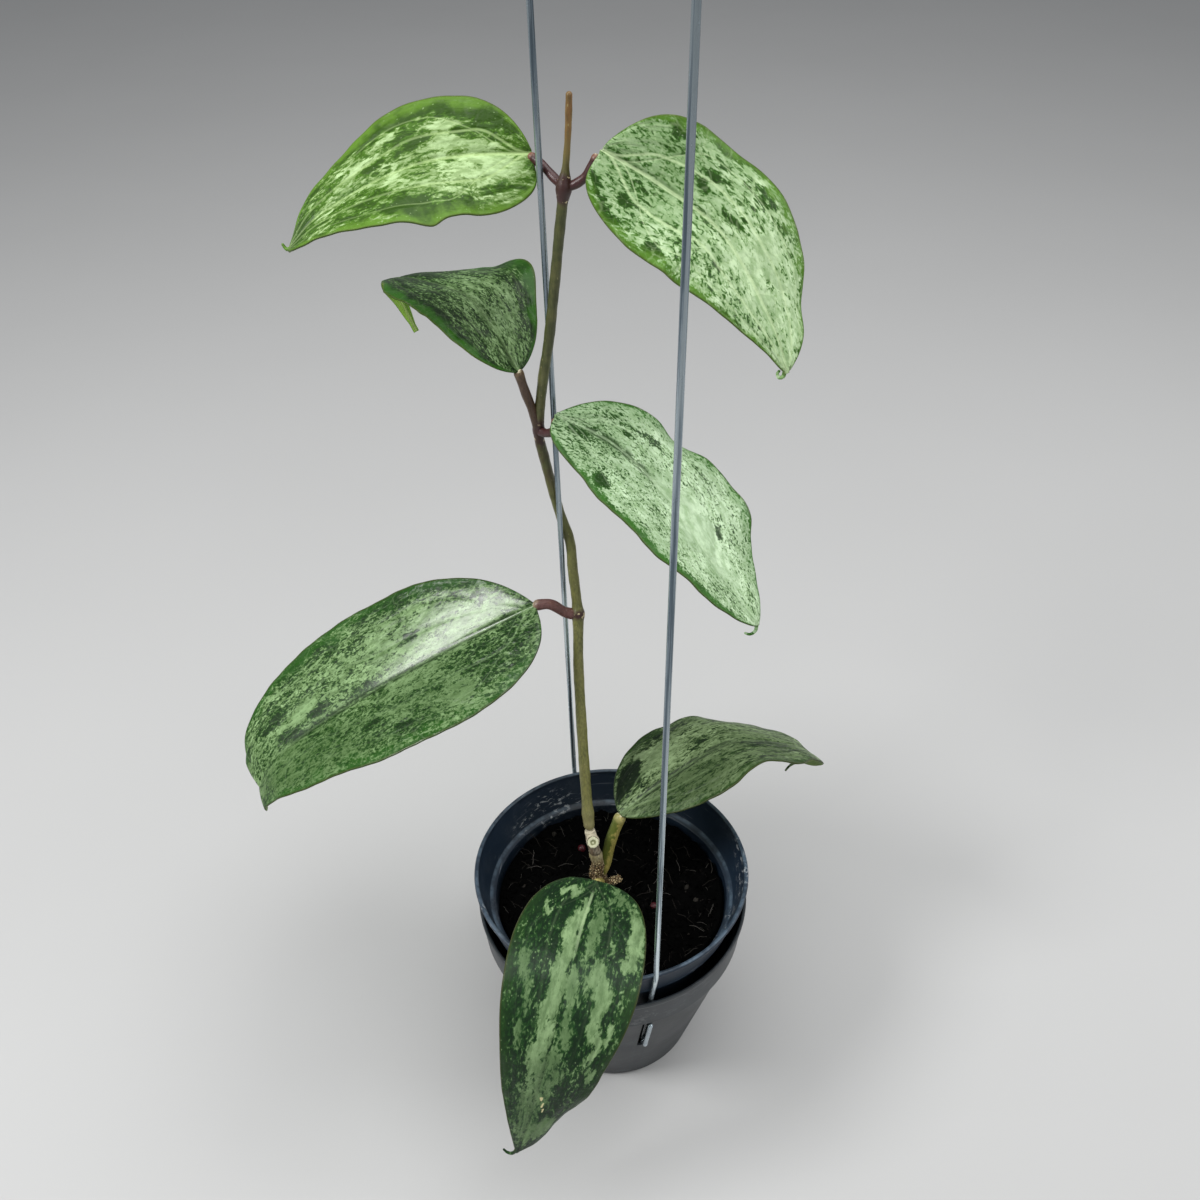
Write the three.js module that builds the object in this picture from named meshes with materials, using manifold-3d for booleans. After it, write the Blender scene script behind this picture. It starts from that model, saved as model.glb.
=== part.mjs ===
// A young hoya macrophylla vine in its nursery pot, which stands in a hanging pot with a wire hoop.
// Millimetres, +Z up. The origin is the middle of the hanging pot's flat base; the viewer stands at -Y.

import * as THREE from 'three';
import { mergeVertices } from 'three/addons/utils/BufferGeometryUtils.js';
import Module from 'manifold-3d';

const wasm = await Module();
wasm.setup();

// Driving dimensions

const GAP = 0.3;
const ROUND_SIDES = 44;

const OUTER_POT = {
  height: 84,
  baseRadius: 35,
  bandBottomRadius: 53.0,
  rimRadius: 54.6,
  bandHeight: 17,
  bandStep: 1.4,
  wall: 1.2,
  floor: 1.4,
};

const INNER_POT = {
  height: 96,
  baseRadius: 29,
  ledgeHeight: 80,
  ledgeRadius: 47.8,
  bandBottomRadius: 50.4,
  bandTopRadius: 53.9,
  rimRadius: 55,
  rimHeight: 1.6,
  wall: 0.9,
  tilt: THREE.MathUtils.degToRad(-3.3),
  baseCentre: [-0.5, -5.5, 3.4],
};

const MIX = { topHeight: 79, bottomHeight: 1.5, clods: 42, clodRadius: [1.0, 2.4], fibres: 16, roughness: 0.8 };

const WIRE = {
  radius: 1.0,
  sides: 8,
  nearAzimuth: THREE.MathUtils.degToRad(-73.7),
  farAzimuth: THREE.MathUtils.degToRad(107.2),
  legRadius: 56.6,
  hookTop: 66,
  hookBottom: 41,
  hookTurnRadius: 1.97,
  nearShoulder: 103,
  farShoulder: 94.5,
  archHeight: 440,
  farLean: -0.0188,
};

const SLOT = { width: 4.0, bottom: 37.5, top: 66.5, offset: -0.7 };

const PRILLS = { radius: 1.7, places: [[-12.6, 23.0], [17.3, -6.0]] };

const LEAF_THICKNESS = { middle: 1.6, edge: 0.8 };
const BLADE_ROWS = 24;
const BLADE_COLUMNS = 8;
const NARROWEST_HALF_WIDTH = 0.8;

// The main stem, from its buried foot to the shoot tip. It leans back to the far wire and twines once round it.
const TRUNK = [
  [-4.6, 0, 66], [-5.1, 0, 87], [-5.8, 0.2, 100], [-7.6, 1.2, 110], [-9.0, 3, 117.5],
];
const VINE = [
  [-9.0, 3, 117.5], [-10.0, 8.5, 127], [-11.6, 20, 151], [-13.0, 34, 176], [-13.2, 45, 193.7],
  [-14.9, 51.8, 209.5], [-15.9, 55.9, 220], [-19.5, 58, 232], [-24.0, 56.5, 256], [-25.5, 54, 270], [-23.1, 51.3, 291],
  [-20.3, 50.2, 308], [-16.4, 50, 340], [-14.3, 50, 357], [-12.9, 50.8, 371], [-12.3, 52, 383],
];
const NODES = [
  { height: 123.5, swell: 0.35, spread: 1.6 },
  { height: 193.7, swell: 0.75, spread: 2.0 },
  { height: 270, swell: 0.4, spread: 2.2 },
  { height: 356, swell: 0.9, spread: 3.0 },
];

// Every blade is drawn by the same rule: a midrib through a few points, the way it faces, half widths to
// the left and right of it, and a few ripples, each [side, place along the blade, spread, lift, reach].
// A taper narrows the part that is bent under; a tail is the thin drip tip that hangs on from the blade.
const LEAVES = [
  {
    name: 'top_left',
    colour: 0x7fa64a,
    midrib: [[-24.2, 60.2, 362.5], [-44.5, 60.7, 361.5], [-63.5, 57, 358.5], [-87, 51, 348], [-99, 48, 337.5]],
    facing: [0, -0.61, 1],
    twist: [-30, 25],
    width: [23, 20.5],
    widest: [0.37, 0.42],
    fullness: [1.15, 1.5],
    fold: 13,
    droop: 0.09,
    lobe: [3.5, -0.3],
    ripples: [[-1, 0.27, 0.1, 1.1, -1.4], [-1, 0.44, 0.06, -1.9, 1.2], [1, 0.64, 0.13, -1.3, -0.5]],
    tail: [[-97.5, 48, 338.5], [-99.6, 48.2, 338], [-101, 49, 339.5]],
    stalk: [[-14.3, 50, 356], [-17.5, 54.2, 357.5], [-21, 57.4, 360], [-25.2, 60.2, 362.3]],
    stalkRadius: 1.4,
  },
  {
    name: 'top_right',
    colour: 0x8fae7c,
    midrib: [[-3, 49, 367.5], [14.5, 48, 357], [33, 44, 343.5], [48.5, 36, 319], [54, 30, 305]],
    facing: [0.06, -0.84, 1],
    twist: [20, -7],
    width: [24, 22],
    widest: [0.41, 0.33],
    fullness: [1.25, 1.35],
    fold: 12,
    droop: 0.11,
    lobe: [-1, 3],
    ripples: [[-1, 0.36, 0.11, -1.7, -2.0], [-1, 0.82, 0.07, -1.6, -1.0], [1, 0.5, 0.12, -1.3, 1.5]],
    tail: [[53.5, 31, 307], [53.2, 30, 304.3], [51.8, 29.6, 303.8], [51.2, 30, 305], [52, 30.4, 306]],
    stalk: [[-14.3, 50, 356], [-10.5, 49.6, 357.5], [-7.3, 49, 360.5], [-4.3, 48.8, 366.3]],
    stalkRadius: 1.4,
  },
  {
    name: 'upper_left',
    colour: 0x4d6b46,
    midrib: [
      [-31, 49, 295], [-39.5, 61, 304.5], [-50, 77, 308.5], [-65, 90.5, 307], [-74.5, 97, 305.5],
      [-78.5, 99.5, 301.5], [-75, 97, 294], [-71, 94, 286.5],
    ],
    facing: [0.42, -0.45, 1],
    twist: [6, 22],
    width: [19, 21.5],
    widest: [0.41, 0.44],
    fullness: [1.35, 1.45],
    fold: 10,
    droop: 0.14,
    lobe: [-0.5, -0.5],
    taper: [0.62, 0.88, 0.75],
    ripples: [[1, 0.38, 0.08, 5.0, 4.0], [1, 0.68, 0.06, -1.7, -0.2], [-1, 0.6, 0.1, 0.5, 2.5]],
    stalk: [[-25.5, 54, 269.5], [-27, 52.4, 278], [-29.2, 50.4, 287], [-31.2, 49.4, 295.8]],
    stalkRadius: 1.6,
  },
  {
    name: 'middle_right',
    colour: 0x7c9c6c,
    midrib: [[-19, 48, 279.5], [1, 46, 268], [19.5, 37, 251.5], [35.5, 24, 232], [50.5, 13, 216]],
    facing: [0.41, -0.42, 1],
    twist: [5, -20],
    width: [26, 25],
    widest: [0.54, 0.44],
    fullness: [1.55, 1.15],
    fold: 13,
    droop: 0.11,
    lobe: [0, 2.5],
    ripples: [
      [-1, 0.37, 0.08, -3.9, -2.8], [-1, 0.67, 0.09, 3.5, 1.2], [1, 0.43, 0.1, 1.3, -0.9],
      [1, 0.72, 0.09, 1.5, -0.8],
    ],
    tail: [[50, 13.5, 217], [49.8, 12.5, 214.2], [48, 12, 212.8], [45.8, 12, 213.4]],
    stalk: [[-25.5, 54, 269.5], [-22.5, 50.6, 270.6], [-19.8, 48.3, 273.2], [-19, 47.6, 278.2]],
    stalkRadius: 1.5,
  },
  {
    name: 'middle_left',
    colour: 0x5f8a4a,
    midrib: [
      [-29, 42, 200.5], [-63, 36, 183], [-99.5, 26, 164.5], [-128, 15, 148.5], [-136.5, 11, 137],
      [-137.5, 11, 133], [-137.5, 14, 129],
    ],
    facing: [-0.13, -0.22, 1],
    twist: [-14, 2],
    width: [36.5, 36.5],
    widest: [0.4, 0.51],
    fullness: [1.0, 1.3],
    fold: 14,
    droop: 0.1,
    lobe: [1, -1],
    ripples: [[-1, 0.66, 0.08, 1.2, -0.6], [1, 0.3, 0.08, 1.0, 0.2]],
    stalk: [[-13.2, 45, 193.4], [-18, 44.4, 195.2], [-23.5, 43, 200.2], [-30, 42, 200.4]],
    stalkRadius: 2.0,
  },
  {
    name: 'base_right',
    colour: 0x5c7d55,
    midrib: [
      [3, 8, 121], [22, 16, 132.5], [46.5, 26, 142.5], [70, 31.5, 136], [80, 32, 130],
      [81.5, 34, 125], [77, 36, 121.5],
    ],
    facing: [-0.18, 0.14, 1],
    twist: [12, -20],
    width: [30, 23.5],
    widest: [0.35, 0.51],
    fullness: [1.4, 1.7],
    fold: 6,
    droop: 0.13,
    lobe: [0, 1],
    taper: [0.72, 0.95, 0.5],
    ripples: [
      [-1, 0.35, 0.06, -1.6, -0.3], [-1, 0.56, 0.11, -4.0, -1.5], [-1, 0.86, 0.08, 1.5, 2.0],
      [1, 0.58, 0.1, 3.0, -2.7],
    ],
    tail: [[78.5, 35.6, 122.6], [76, 36.2, 120.6], [73.5, 36.2, 118.6], [71.6, 35.5, 116]],
    stalk: [[-5.6, 0, 93], [-3, 1.8, 98.5], [-0.4, 5, 110], [3.6, 8.3, 121.2]],
    stalkRadius: 2.3,
  },
  {
    name: 'base_front',
    colour: 0x3f6444,
    midrib: [
      [-6, -20, 115], [-11.5, -43, 117.5], [-16, -65, 115.5], [-22, -81, 98], [-29, -88, 69.5],
      [-36, -90, 44.5],
    ],
    facing: [0.09, -0.74, 1],
    twist: [10, -9],
    width: [25.5, 23.5],
    widest: [0.3, 0.28],
    fullness: [1.1, 1.4],
    fold: 9,
    droop: 0.15,
    lobe: [-0.5, 1.5],
    ripples: [[-1, 0.57, 0.11, -0.7, -1.1], [-1, 0.81, 0.09, -2.7, -1.7], [1, 0.58, 0.11, -0.1, -0.7]],
    tail: [[-35.6, -89.8, 46], [-37.4, -89.8, 43], [-39.4, -89.5, 42.8], [-41, -89, 44.6]],
    stalk: [[-5.2, 0, 89], [-5.4, -8, 97], [-5.8, -15, 107], [-6.1, -20.8, 114.6]],
    stalkRadius: 2.0,
  },
];

// Solids and meshes

function toSolid(geometry) {
  geometry.deleteAttribute('normal');
  geometry.deleteAttribute('uv');
  const merged = mergeVertices(geometry, 1e-4);
  return new wasm.Manifold(new wasm.Mesh({
    numProp: 3,
    vertProperties: new Float32Array(merged.attributes.position.array),
    triVerts: new Uint32Array(merged.index.array),
  }));
}

function largestPiece(solid) {
  const pieces = solid.decompose();
  return pieces.reduce((best, piece) => (piece.volume() > best.volume() ? piece : best));
}

function toGeometry(solid) {
  const mesh = solid.getMesh();
  const geometry = new THREE.BufferGeometry();
  geometry.setAttribute('position', new THREE.BufferAttribute(new Float32Array(mesh.vertProperties), 3));
  geometry.setIndex(new THREE.BufferAttribute(new Uint32Array(mesh.triVerts), 1));
  geometry.computeVertexNormals();
  return geometry;
}

const vector = (point) => new THREE.Vector3(...point);

// The same draws every time: a small linear congruential generator.
function seededRandom(seed) {
  let state = seed;
  return () => {
    state = (state * 1664525 + 1013904223) % 4294967296;
    return state / 4294967296;
  };
}

// A ring profile [radius, height], turned round the Z axis.
function turned(profile, sides = ROUND_SIDES) {
  const outline = profile.map(([radius, height]) => new THREE.Vector2(radius, height));
  return new THREE.LatheGeometry(outline, sides).rotateX(Math.PI / 2);
}

function smoothPath(points, steps) {
  const curve = new THREE.CatmullRomCurve3(points.map(vector), false, 'catmullrom', 0.5);
  curve.arcLengthDivisions = 400;
  return curve.getSpacedPoints(steps);
}

// A round bar through a list of places: a cylinder's rings are laid across the path, one at each place.
function bar(path, radiusAt, sides, grow = 0) {
  const places = path.map((place) => place.clone());
  const last = places.length - 1;
  const tangents = places.map((_, i) => places[Math.min(i + 1, last)].clone()
    .sub(places[Math.max(i - 1, 0)]).normalize());
  places[0].addScaledVector(tangents[0], -grow);
  places[last].addScaledVector(tangents[last], grow);
  let across = new THREE.Vector3(0, 0, 1).cross(tangents[0]);
  if (across.length() < 0.1) across = new THREE.Vector3(1, 0, 0);
  const acrosses = tangents.map((tangent) => {
    across = across.clone().addScaledVector(tangent, -across.dot(tangent)).normalize();
    return across;
  });
  const geometry = new THREE.CylinderGeometry(1, 1, 1, sides, last);
  const position = geometry.attributes.position;
  for (let k = 0; k < position.count; k += 1) {
    const ring = Math.round((position.getY(k) + 0.5) * last);
    const radius = radiusAt(ring / last, path[ring]) + grow;
    const side = acrosses[ring].clone().cross(tangents[ring]);
    const point = places[ring].clone()
      .addScaledVector(acrosses[ring], position.getX(k) * radius)
      .addScaledVector(side, position.getZ(k) * radius);
    position.setXYZ(k, point.x, point.y, point.z);
  }
  return toSolid(geometry);
}

// The outer pot

const bodySlope = (OUTER_POT.bandBottomRadius - OUTER_POT.bandStep - OUTER_POT.baseRadius)
  / (OUTER_POT.height - OUTER_POT.bandHeight);
const bodyRadius = (height) => OUTER_POT.baseRadius + bodySlope * height;

function slotCutter(azimuth) {
  const height = SLOT.top - SLOT.bottom;
  const middle = (SLOT.top + SLOT.bottom) / 2;
  const geometry = new THREE.BoxGeometry(10, SLOT.width, height);
  geometry.translate(bodyRadius(middle), SLOT.offset, middle);
  return toSolid(geometry.rotateZ(azimuth));
}

function outerPot() {
  const pot = OUTER_POT;
  const bandBottom = pot.height - pot.bandHeight;
  const body = turned([
    [0, 0],
    [pot.baseRadius - 1.2, 0],
    [bodyRadius(1.2), 1.2],
    [bodyRadius(bandBottom), bandBottom],
    [pot.bandBottomRadius, bandBottom + 0.8],
    [pot.rimRadius - 0.5, pot.height - 2.6],
    [pot.rimRadius, pot.height - 1.8],
    [pot.rimRadius, pot.height - 0.4],
    [pot.rimRadius - 0.4, pot.height],
    [pot.rimRadius - pot.wall, pot.height],
    [pot.bandBottomRadius - pot.wall, bandBottom + 0.6],
    [bodyRadius(bandBottom) - pot.wall, bandBottom - 0.6],
    [bodyRadius(pot.floor) - pot.wall, pot.floor],
    [0, pot.floor],
  ]);
  return toSolid(body).subtract(slotCutter(WIRE.nearAzimuth)).subtract(slotCutter(WIRE.farAzimuth));
}

// The inner pot leans a little to the back; all that it holds leans with it.

const INNER_SEAT = new THREE.Matrix4()
  .makeRotationX(INNER_POT.tilt)
  .setPosition(...INNER_POT.baseCentre);

const innerWallRadius = (height) => INNER_POT.baseRadius
  + (INNER_POT.ledgeRadius - INNER_POT.baseRadius) * height / INNER_POT.ledgeHeight;

function innerPot() {
  const pot = INNER_POT;
  const bandStart = pot.ledgeHeight + 1;
  const profile = turned([
    [0, 0],
    [pot.baseRadius - 1, 0],
    [innerWallRadius(1), 1],
    [pot.ledgeRadius, pot.ledgeHeight],
    [pot.bandBottomRadius, bandStart],
    [pot.bandTopRadius, pot.height - pot.rimHeight],
    [pot.rimRadius - 0.2, pot.height - pot.rimHeight + 0.1],
    [pot.rimRadius, pot.height - 0.9],
    [pot.rimRadius - 0.4, pot.height - 0.1],
    [pot.rimRadius - 1, pot.height],
    [pot.rimRadius - 1.8, pot.height - 0.4],
    [pot.bandTopRadius - pot.wall, pot.height - pot.rimHeight - 0.2],
    [pot.bandBottomRadius - pot.wall, bandStart + 1.2],
    [pot.ledgeRadius + 0.7, bandStart + 0.7],
    [pot.ledgeRadius - pot.wall + 0.1, bandStart],
    [pot.ledgeRadius - pot.wall, pot.ledgeHeight - 1],
    [innerWallRadius(1.1) - pot.wall, 1.1],
    [0, 1.1],
  ]);
  return toSolid(profile.applyMatrix4(INNER_SEAT));
}

// The potting mix: a plug that fills the inner pot, with a crumbled top, clods and coir fibres.

function mixHeight(x, y) {
  const wave = Math.sin(0.41 * x + 1.3) * Math.sin(0.37 * y + 0.4) + 0.6 * Math.sin(0.83 * x - 0.59 * y)
    + 0.5 * Math.sin(1.21 * y + 0.9 * x + 2.0);
  return MIX.roughness * wave;
}

function mixPlug() {
  const wallGap = INNER_POT.wall + GAP;
  const topRadius = innerWallRadius(MIX.topHeight - 2) - wallGap;
  const rings = [0.97, 0.83, 0.69, 0.55, 0.41, 0.27, 0.13].map((part) => [topRadius * part, MIX.topHeight]);
  const geometry = turned([
    [0, MIX.bottomHeight],
    [innerWallRadius(MIX.bottomHeight) - wallGap - 0.4, MIX.bottomHeight],
    [topRadius, MIX.topHeight - 2],
    ...rings,
    [0, MIX.topHeight],
  ], 32);
  const position = geometry.attributes.position;
  for (let k = 0; k < position.count; k += 1) {
    if (position.getZ(k) > MIX.topHeight - 0.5) {
      position.setZ(k, MIX.topHeight + mixHeight(position.getX(k), position.getY(k)));
    }
  }
  return toSolid(geometry.applyMatrix4(INNER_SEAT));
}

function mixPoint(x, y, lift = 0) {
  return new THREE.Vector3(x, y, MIX.topHeight + mixHeight(x, y) + lift).applyMatrix4(INNER_SEAT);
}

function scattered(random, reach) {
  const radius = reach * Math.sqrt(random());
  const angle = 2 * Math.PI * random();
  return [radius * Math.cos(angle), radius * Math.sin(angle)];
}

function clods() {
  const random = seededRandom(11);
  const reach = innerWallRadius(MIX.topHeight) - 4.5;
  const [least, most] = MIX.clodRadius;
  return Array.from({ length: MIX.clods }, () => {
    const radius = least + (most - least) * random() ** 2;
    const place = mixPoint(...scattered(random, reach), -0.35 * radius);
    const clod = new THREE.IcosahedronGeometry(radius, 0);
    clod.rotateZ(6 * random()).rotateX(6 * random()).scale(1, 1, 0.8);
    return toSolid(clod.translate(place.x, place.y, place.z));
  });
}

function fibres() {
  const random = seededRandom(29);
  const reach = innerWallRadius(MIX.topHeight) - 9;
  return Array.from({ length: MIX.fibres }, () => {
    const [x, y] = scattered(random, reach);
    const heading = 2 * Math.PI * random();
    const length = 5 + 5 * random();
    const step = [length * Math.cos(heading) / 2, length * Math.sin(heading) / 2];
    const rise = 0.6 + 1.6 * random();
    const path = [
      mixPoint(x, y, -1.2),
      mixPoint(x + 0.3 * step[0], y + 0.3 * step[1], 0.5),
      mixPoint(x + step[0], y + step[1], rise),
      mixPoint(x + 2 * step[0], y + 2 * step[1], -0.8),
    ];
    return bar(path, () => 0.4, 4);
  });
}

function prillPlaces() {
  return PRILLS.places.map(([x, y]) => mixPoint(x, y, 0.4));
}

function ball(radius, place, detail) {
  return toSolid(new THREE.IcosahedronGeometry(radius, detail).translate(place.x, place.y, place.z));
}

function pottingMix(buried) {
  let mix = mixPlug();
  for (const lump of [...clods(), ...fibres()]) mix = mix.add(lump);
  for (const place of prillPlaces()) mix = mix.subtract(ball(PRILLS.radius + GAP, place, 1));
  for (const piece of buried) mix = mix.subtract(piece);
  return largestPiece(mix);
}

// The wire hoop: a hooked foot outside the pot wall, a leg up past both rims, an arch, and down again.

function hoopFoot(azimuth, shoulder, topX) {
  const at = (radius, height) => new THREE.Vector3(
    radius * Math.cos(azimuth), radius * Math.sin(azimuth), height,
  );
  const insideRadius = (height) => bodyRadius(height) - OUTER_POT.wall - WIRE.radius - 0.35;
  const turnHeight = WIRE.hookBottom + WIRE.hookTurnRadius;
  const turnCentre = insideRadius(turnHeight) + WIRE.hookTurnRadius;
  const outsideOffset = turnCentre + WIRE.hookTurnRadius - bodyRadius(turnHeight);
  const foot = [at(bodyRadius(WIRE.hookTop) + outsideOffset, WIRE.hookTop)];
  for (let i = 0; i <= 6; i += 1) {
    const angle = -Math.PI * i / 6;
    foot.push(at(
      turnCentre + WIRE.hookTurnRadius * Math.cos(angle),
      turnHeight + WIRE.hookTurnRadius * Math.sin(angle),
    ));
  }
  const rimInside = OUTER_POT.rimRadius - OUTER_POT.wall - WIRE.radius - 0.5;
  foot.push(at(insideRadius(65), 65));
  foot.push(at(rimInside, OUTER_POT.height));
  foot.push(at(WIRE.legRadius - 0.4, shoulder - 1));
  foot.push(at(WIRE.legRadius, shoulder + 2));
  const knee = foot[foot.length - 1];
  foot.push(new THREE.Vector3(topX, knee.y, WIRE.archHeight));
  return foot;
}

function wirePath() {
  const nearX = WIRE.legRadius * Math.cos(WIRE.nearAzimuth);
  const farX = WIRE.legRadius * Math.cos(WIRE.farAzimuth)
    + WIRE.farLean * (WIRE.archHeight - WIRE.farShoulder);
  const near = hoopFoot(WIRE.nearAzimuth, WIRE.nearShoulder, nearX);
  const far = hoopFoot(WIRE.farAzimuth, WIRE.farShoulder, farX);
  const start = near[near.length - 1];
  const end = far[far.length - 1];
  const centre = start.clone().add(end).multiplyScalar(0.5);
  const halfSpan = start.clone().sub(centre);
  const arch = [];
  for (let i = 1; i < 20; i += 1) {
    const angle = Math.PI * i / 20;
    arch.push(centre.clone().addScaledVector(halfSpan, Math.cos(angle))
      .add(new THREE.Vector3(0, 0, halfSpan.length() * Math.sin(angle))));
  }
  return [...near, ...arch, ...far.reverse()];
}

// The woody base, with its callus, the stub of an old shoot and the round scar of a cut one.

const trunkRadius = (t, place) => 2.3 + 0.25 * Math.sin(place.z * 0.9) + 0.5 * Math.exp(-(((place.z - 90) / 9) ** 2));

function trunk(grow = 0) {
  return bar(smoothPath(TRUNK, 14), trunkRadius, 10, grow);
}

function woodyBase(clearOf) {
  const random = seededRandom(5);
  let base = trunk();
  for (let i = 0; i < 16; i += 1) {
    const height = 84 + 14 * random();
    const angle = 2 * Math.PI * random();
    const out = 1.8 + 0.9 * random();
    const place = new THREE.Vector3(-5.4 + out * Math.cos(angle), out * Math.sin(angle), height);
    let lump = ball(1.1 + 0.7 * random(), place, 0);
    for (const piece of clearOf) lump = lump.subtract(piece);
    base = base.add(lump);
  }
  const stub = smoothPath([[-5, 0, 87.5], [-1, -1.2, 90.2], [2.8, -2.2, 93.4]], 6);
  base = base.add(bar(stub, (t) => 1.55 + 0.15 * Math.cos(6 * Math.PI * t), 8));
  const scar = [[-8.0, 1.6, 113.2], [-7.7, -0.6, 115.0], [-7.6, -2.2, 116.3]].map(vector);
  return base.add(bar(scar, () => 2.6, 12));
}

// The vine stem and its shoot tip

function vineRadius(t, place) {
  const shoot = THREE.MathUtils.smoothstep(place.z, 357, 363);
  const plain = THREE.MathUtils.lerp(2.15 - 0.6 * t, 1.05 - 0.9 * (t - 0.9), shoot);
  const swelling = NODES.reduce(
    (sum, node) => sum + node.swell * Math.exp(-(((place.z - node.height) / node.spread) ** 2)),
    0,
  );
  return plain + swelling * (1 - shoot);
}

function vine(grow = 0) {
  return bar(smoothPath(VINE, 80), vineRadius, 7, grow);
}

// Leaf stalks and blades

function stalk(leaf, grow = 0) {
  const radiusAt = (t) => leaf.stalkRadius * (1 + 0.25 * Math.exp(-t * 9) + 0.12 * Math.exp((t - 1) * 9));
  return bar(smoothPath(leaf.stalk, 10), radiusAt, 8, grow);
}

// Half width over its greatest value, for a place t along the blade.
function outline(t, widest, fullness) {
  const place = THREE.MathUtils.clamp(t, 1e-6, 1 - 1e-6);
  return (place / widest) ** (fullness * widest)
    * ((1 - place) / (1 - widest)) ** (fullness * (1 - widest));
}

// The midrib's place, direction, upward side and sideways direction in each row, base to tip.
function midribFrames(leaf) {
  const curve = new THREE.CatmullRomCurve3(leaf.midrib.map(vector), false, 'catmullrom', 0.5);
  curve.arcLengthDivisions = 600;
  const length = curve.getLength();
  const rows = Array.from({ length: BLADE_ROWS + 1 }, (_, i) => {
    const u = i / BLADE_ROWS;
    const t = u - 0.6 * Math.sin(2 * Math.PI * u) / (2 * Math.PI);
    return { t, place: curve.getPointAt(t), along: curve.getTangentAt(t) };
  });
  const square = (up, along) => up.clone().addScaledVector(along, -up.dot(along)).normalize();
  const home = rows.findIndex((row) => row.t >= 0.4);
  rows[home].up = square(vector(leaf.facing), rows[home].along);
  for (let i = home + 1; i < rows.length; i += 1) rows[i].up = square(rows[i - 1].up, rows[i].along);
  for (let i = home - 1; i >= 0; i -= 1) rows[i].up = square(rows[i + 1].up, rows[i].along);
  for (const row of rows) {
    const side = row.along.clone().cross(row.up);
    const turn = row.t < 0.4 ? leaf.twist[0] * (1 - row.t / 0.4) : leaf.twist[1] * (row.t - 0.4) / 0.6;
    const angle = THREE.MathUtils.degToRad(turn);
    row.across = side.clone().multiplyScalar(Math.cos(angle)).addScaledVector(row.up, -Math.sin(angle));
    row.up = row.up.clone().multiplyScalar(Math.cos(angle)).addScaledVector(side, Math.sin(angle));
  }
  return { rows, length };
}

// A point of the blade's middle surface: v runs from -1 at the left edge over 0 at the midrib to 1.
function bladePoint(leaf, row, v) {
  const side = v < 0 ? 0 : 1;
  const a = Math.abs(v);
  const [taperStart, taperEnd, taperShare] = leaf.taper ?? [0, 1, 0];
  const taper = 1 - taperShare * THREE.MathUtils.smoothstep(row.t, taperStart, taperEnd);
  const law = taper * outline(row.t, leaf.widest[side], leaf.fullness[side]);
  const width = Math.max(leaf.width[side] * law, NARROWEST_HALF_WIDTH);
  const fold = THREE.MathUtils.degToRad(leaf.fold);
  let lift = a * width * Math.sin(fold) - leaf.droop * a * a * width;
  let reach = a * width * Math.cos(fold);
  for (const [rippleSide, place, spread, up, out] of leaf.ripples) {
    if (rippleSide === Math.sign(v)) {
      const bell = Math.exp(-(((row.t - place) / spread) ** 2)) * a ** 3;
      lift += up * bell;
      reach += out * bell;
    }
  }
  const back = leaf.lobe[side] * a * Math.exp(-((row.t / 0.12) ** 2)) * (1 - Math.exp(-row.t / 0.012));
  return row.place.clone()
    .addScaledVector(row.along, -back)
    .addScaledVector(row.across, Math.sign(v) * reach)
    .addScaledVector(row.up, lift);
}

// Both faces of a blade are split into the same triangles, a thickness apart, and joined round the edge.
function blade(leaf) {
  const { rows } = midribFrames(leaf);
  const columns = Array.from({ length: BLADE_COLUMNS + 1 }, (_, j) => 2 * j / BLADE_COLUMNS - 1);
  const middle = rows.map((row) => columns.map((v) => bladePoint(leaf, row, v)));
  const faces = [[], []];
  for (let i = 0; i < rows.length; i += 1) {
    for (let j = 0; j < columns.length; j += 1) {
      const ahead = middle[Math.min(i + 1, rows.length - 1)][j];
      const behind = middle[Math.max(i - 1, 0)][j];
      const right = middle[i][Math.min(j + 1, columns.length - 1)];
      const left = middle[i][Math.max(j - 1, 0)];
      const normal = right.clone().sub(left).cross(ahead.clone().sub(behind)).normalize();
      const half = THREE.MathUtils.lerp(LEAF_THICKNESS.middle, LEAF_THICKNESS.edge, columns[j] ** 2) / 2;
      faces[0].push(middle[i][j].clone().addScaledVector(normal, half));
      faces[1].push(middle[i][j].clone().addScaledVector(normal, -half));
    }
  }
  const count = columns.length;
  const underneath = faces[0].length;
  const index = [];
  for (let i = 0; i < rows.length - 1; i += 1) {
    for (let j = 0; j < count - 1; j += 1) {
      const a = i * count + j;
      const b = a + count;
      index.push(a, a + 1, b + 1, a, b + 1, b);
      index.push(underneath + a, underneath + b + 1, underneath + a + 1);
      index.push(underneath + a, underneath + b, underneath + b + 1);
    }
  }
  const wallQuad = (a, b) => index.push(b, a, underneath + a, b, underneath + a, underneath + b);
  for (let i = 0; i < rows.length - 1; i += 1) {
    wallQuad((i + 1) * count, i * count);
    wallQuad(i * count + count - 1, (i + 1) * count + count - 1);
  }
  for (let j = 0; j < count - 1; j += 1) {
    wallQuad(j, j + 1);
    wallQuad((rows.length - 1) * count + j + 1, (rows.length - 1) * count + j);
  }
  const geometry = new THREE.BufferGeometry();
  geometry.setFromPoints([...faces[0], ...faces[1]]);
  geometry.setIndex(index);
  return toSolid(geometry);
}

function leafSolid(leaf, fatStalk) {
  let solid = blade(leaf);
  if (leaf.tail) solid = solid.add(bar(smoothPath(leaf.tail, 6), (t) => 0.75 - 0.35 * t, 6));
  return largestPiece(solid.subtract(fatStalk));
}

// The assembly

const plant = new THREE.Group();

function place(name, solid, colour, roughness, metalness = 0) {
  const material = new THREE.MeshStandardMaterial({ color: colour, roughness, metalness });
  const mesh = new THREE.Mesh(toGeometry(solid), material);
  mesh.name = name;
  plant.add(mesh);
}

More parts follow.
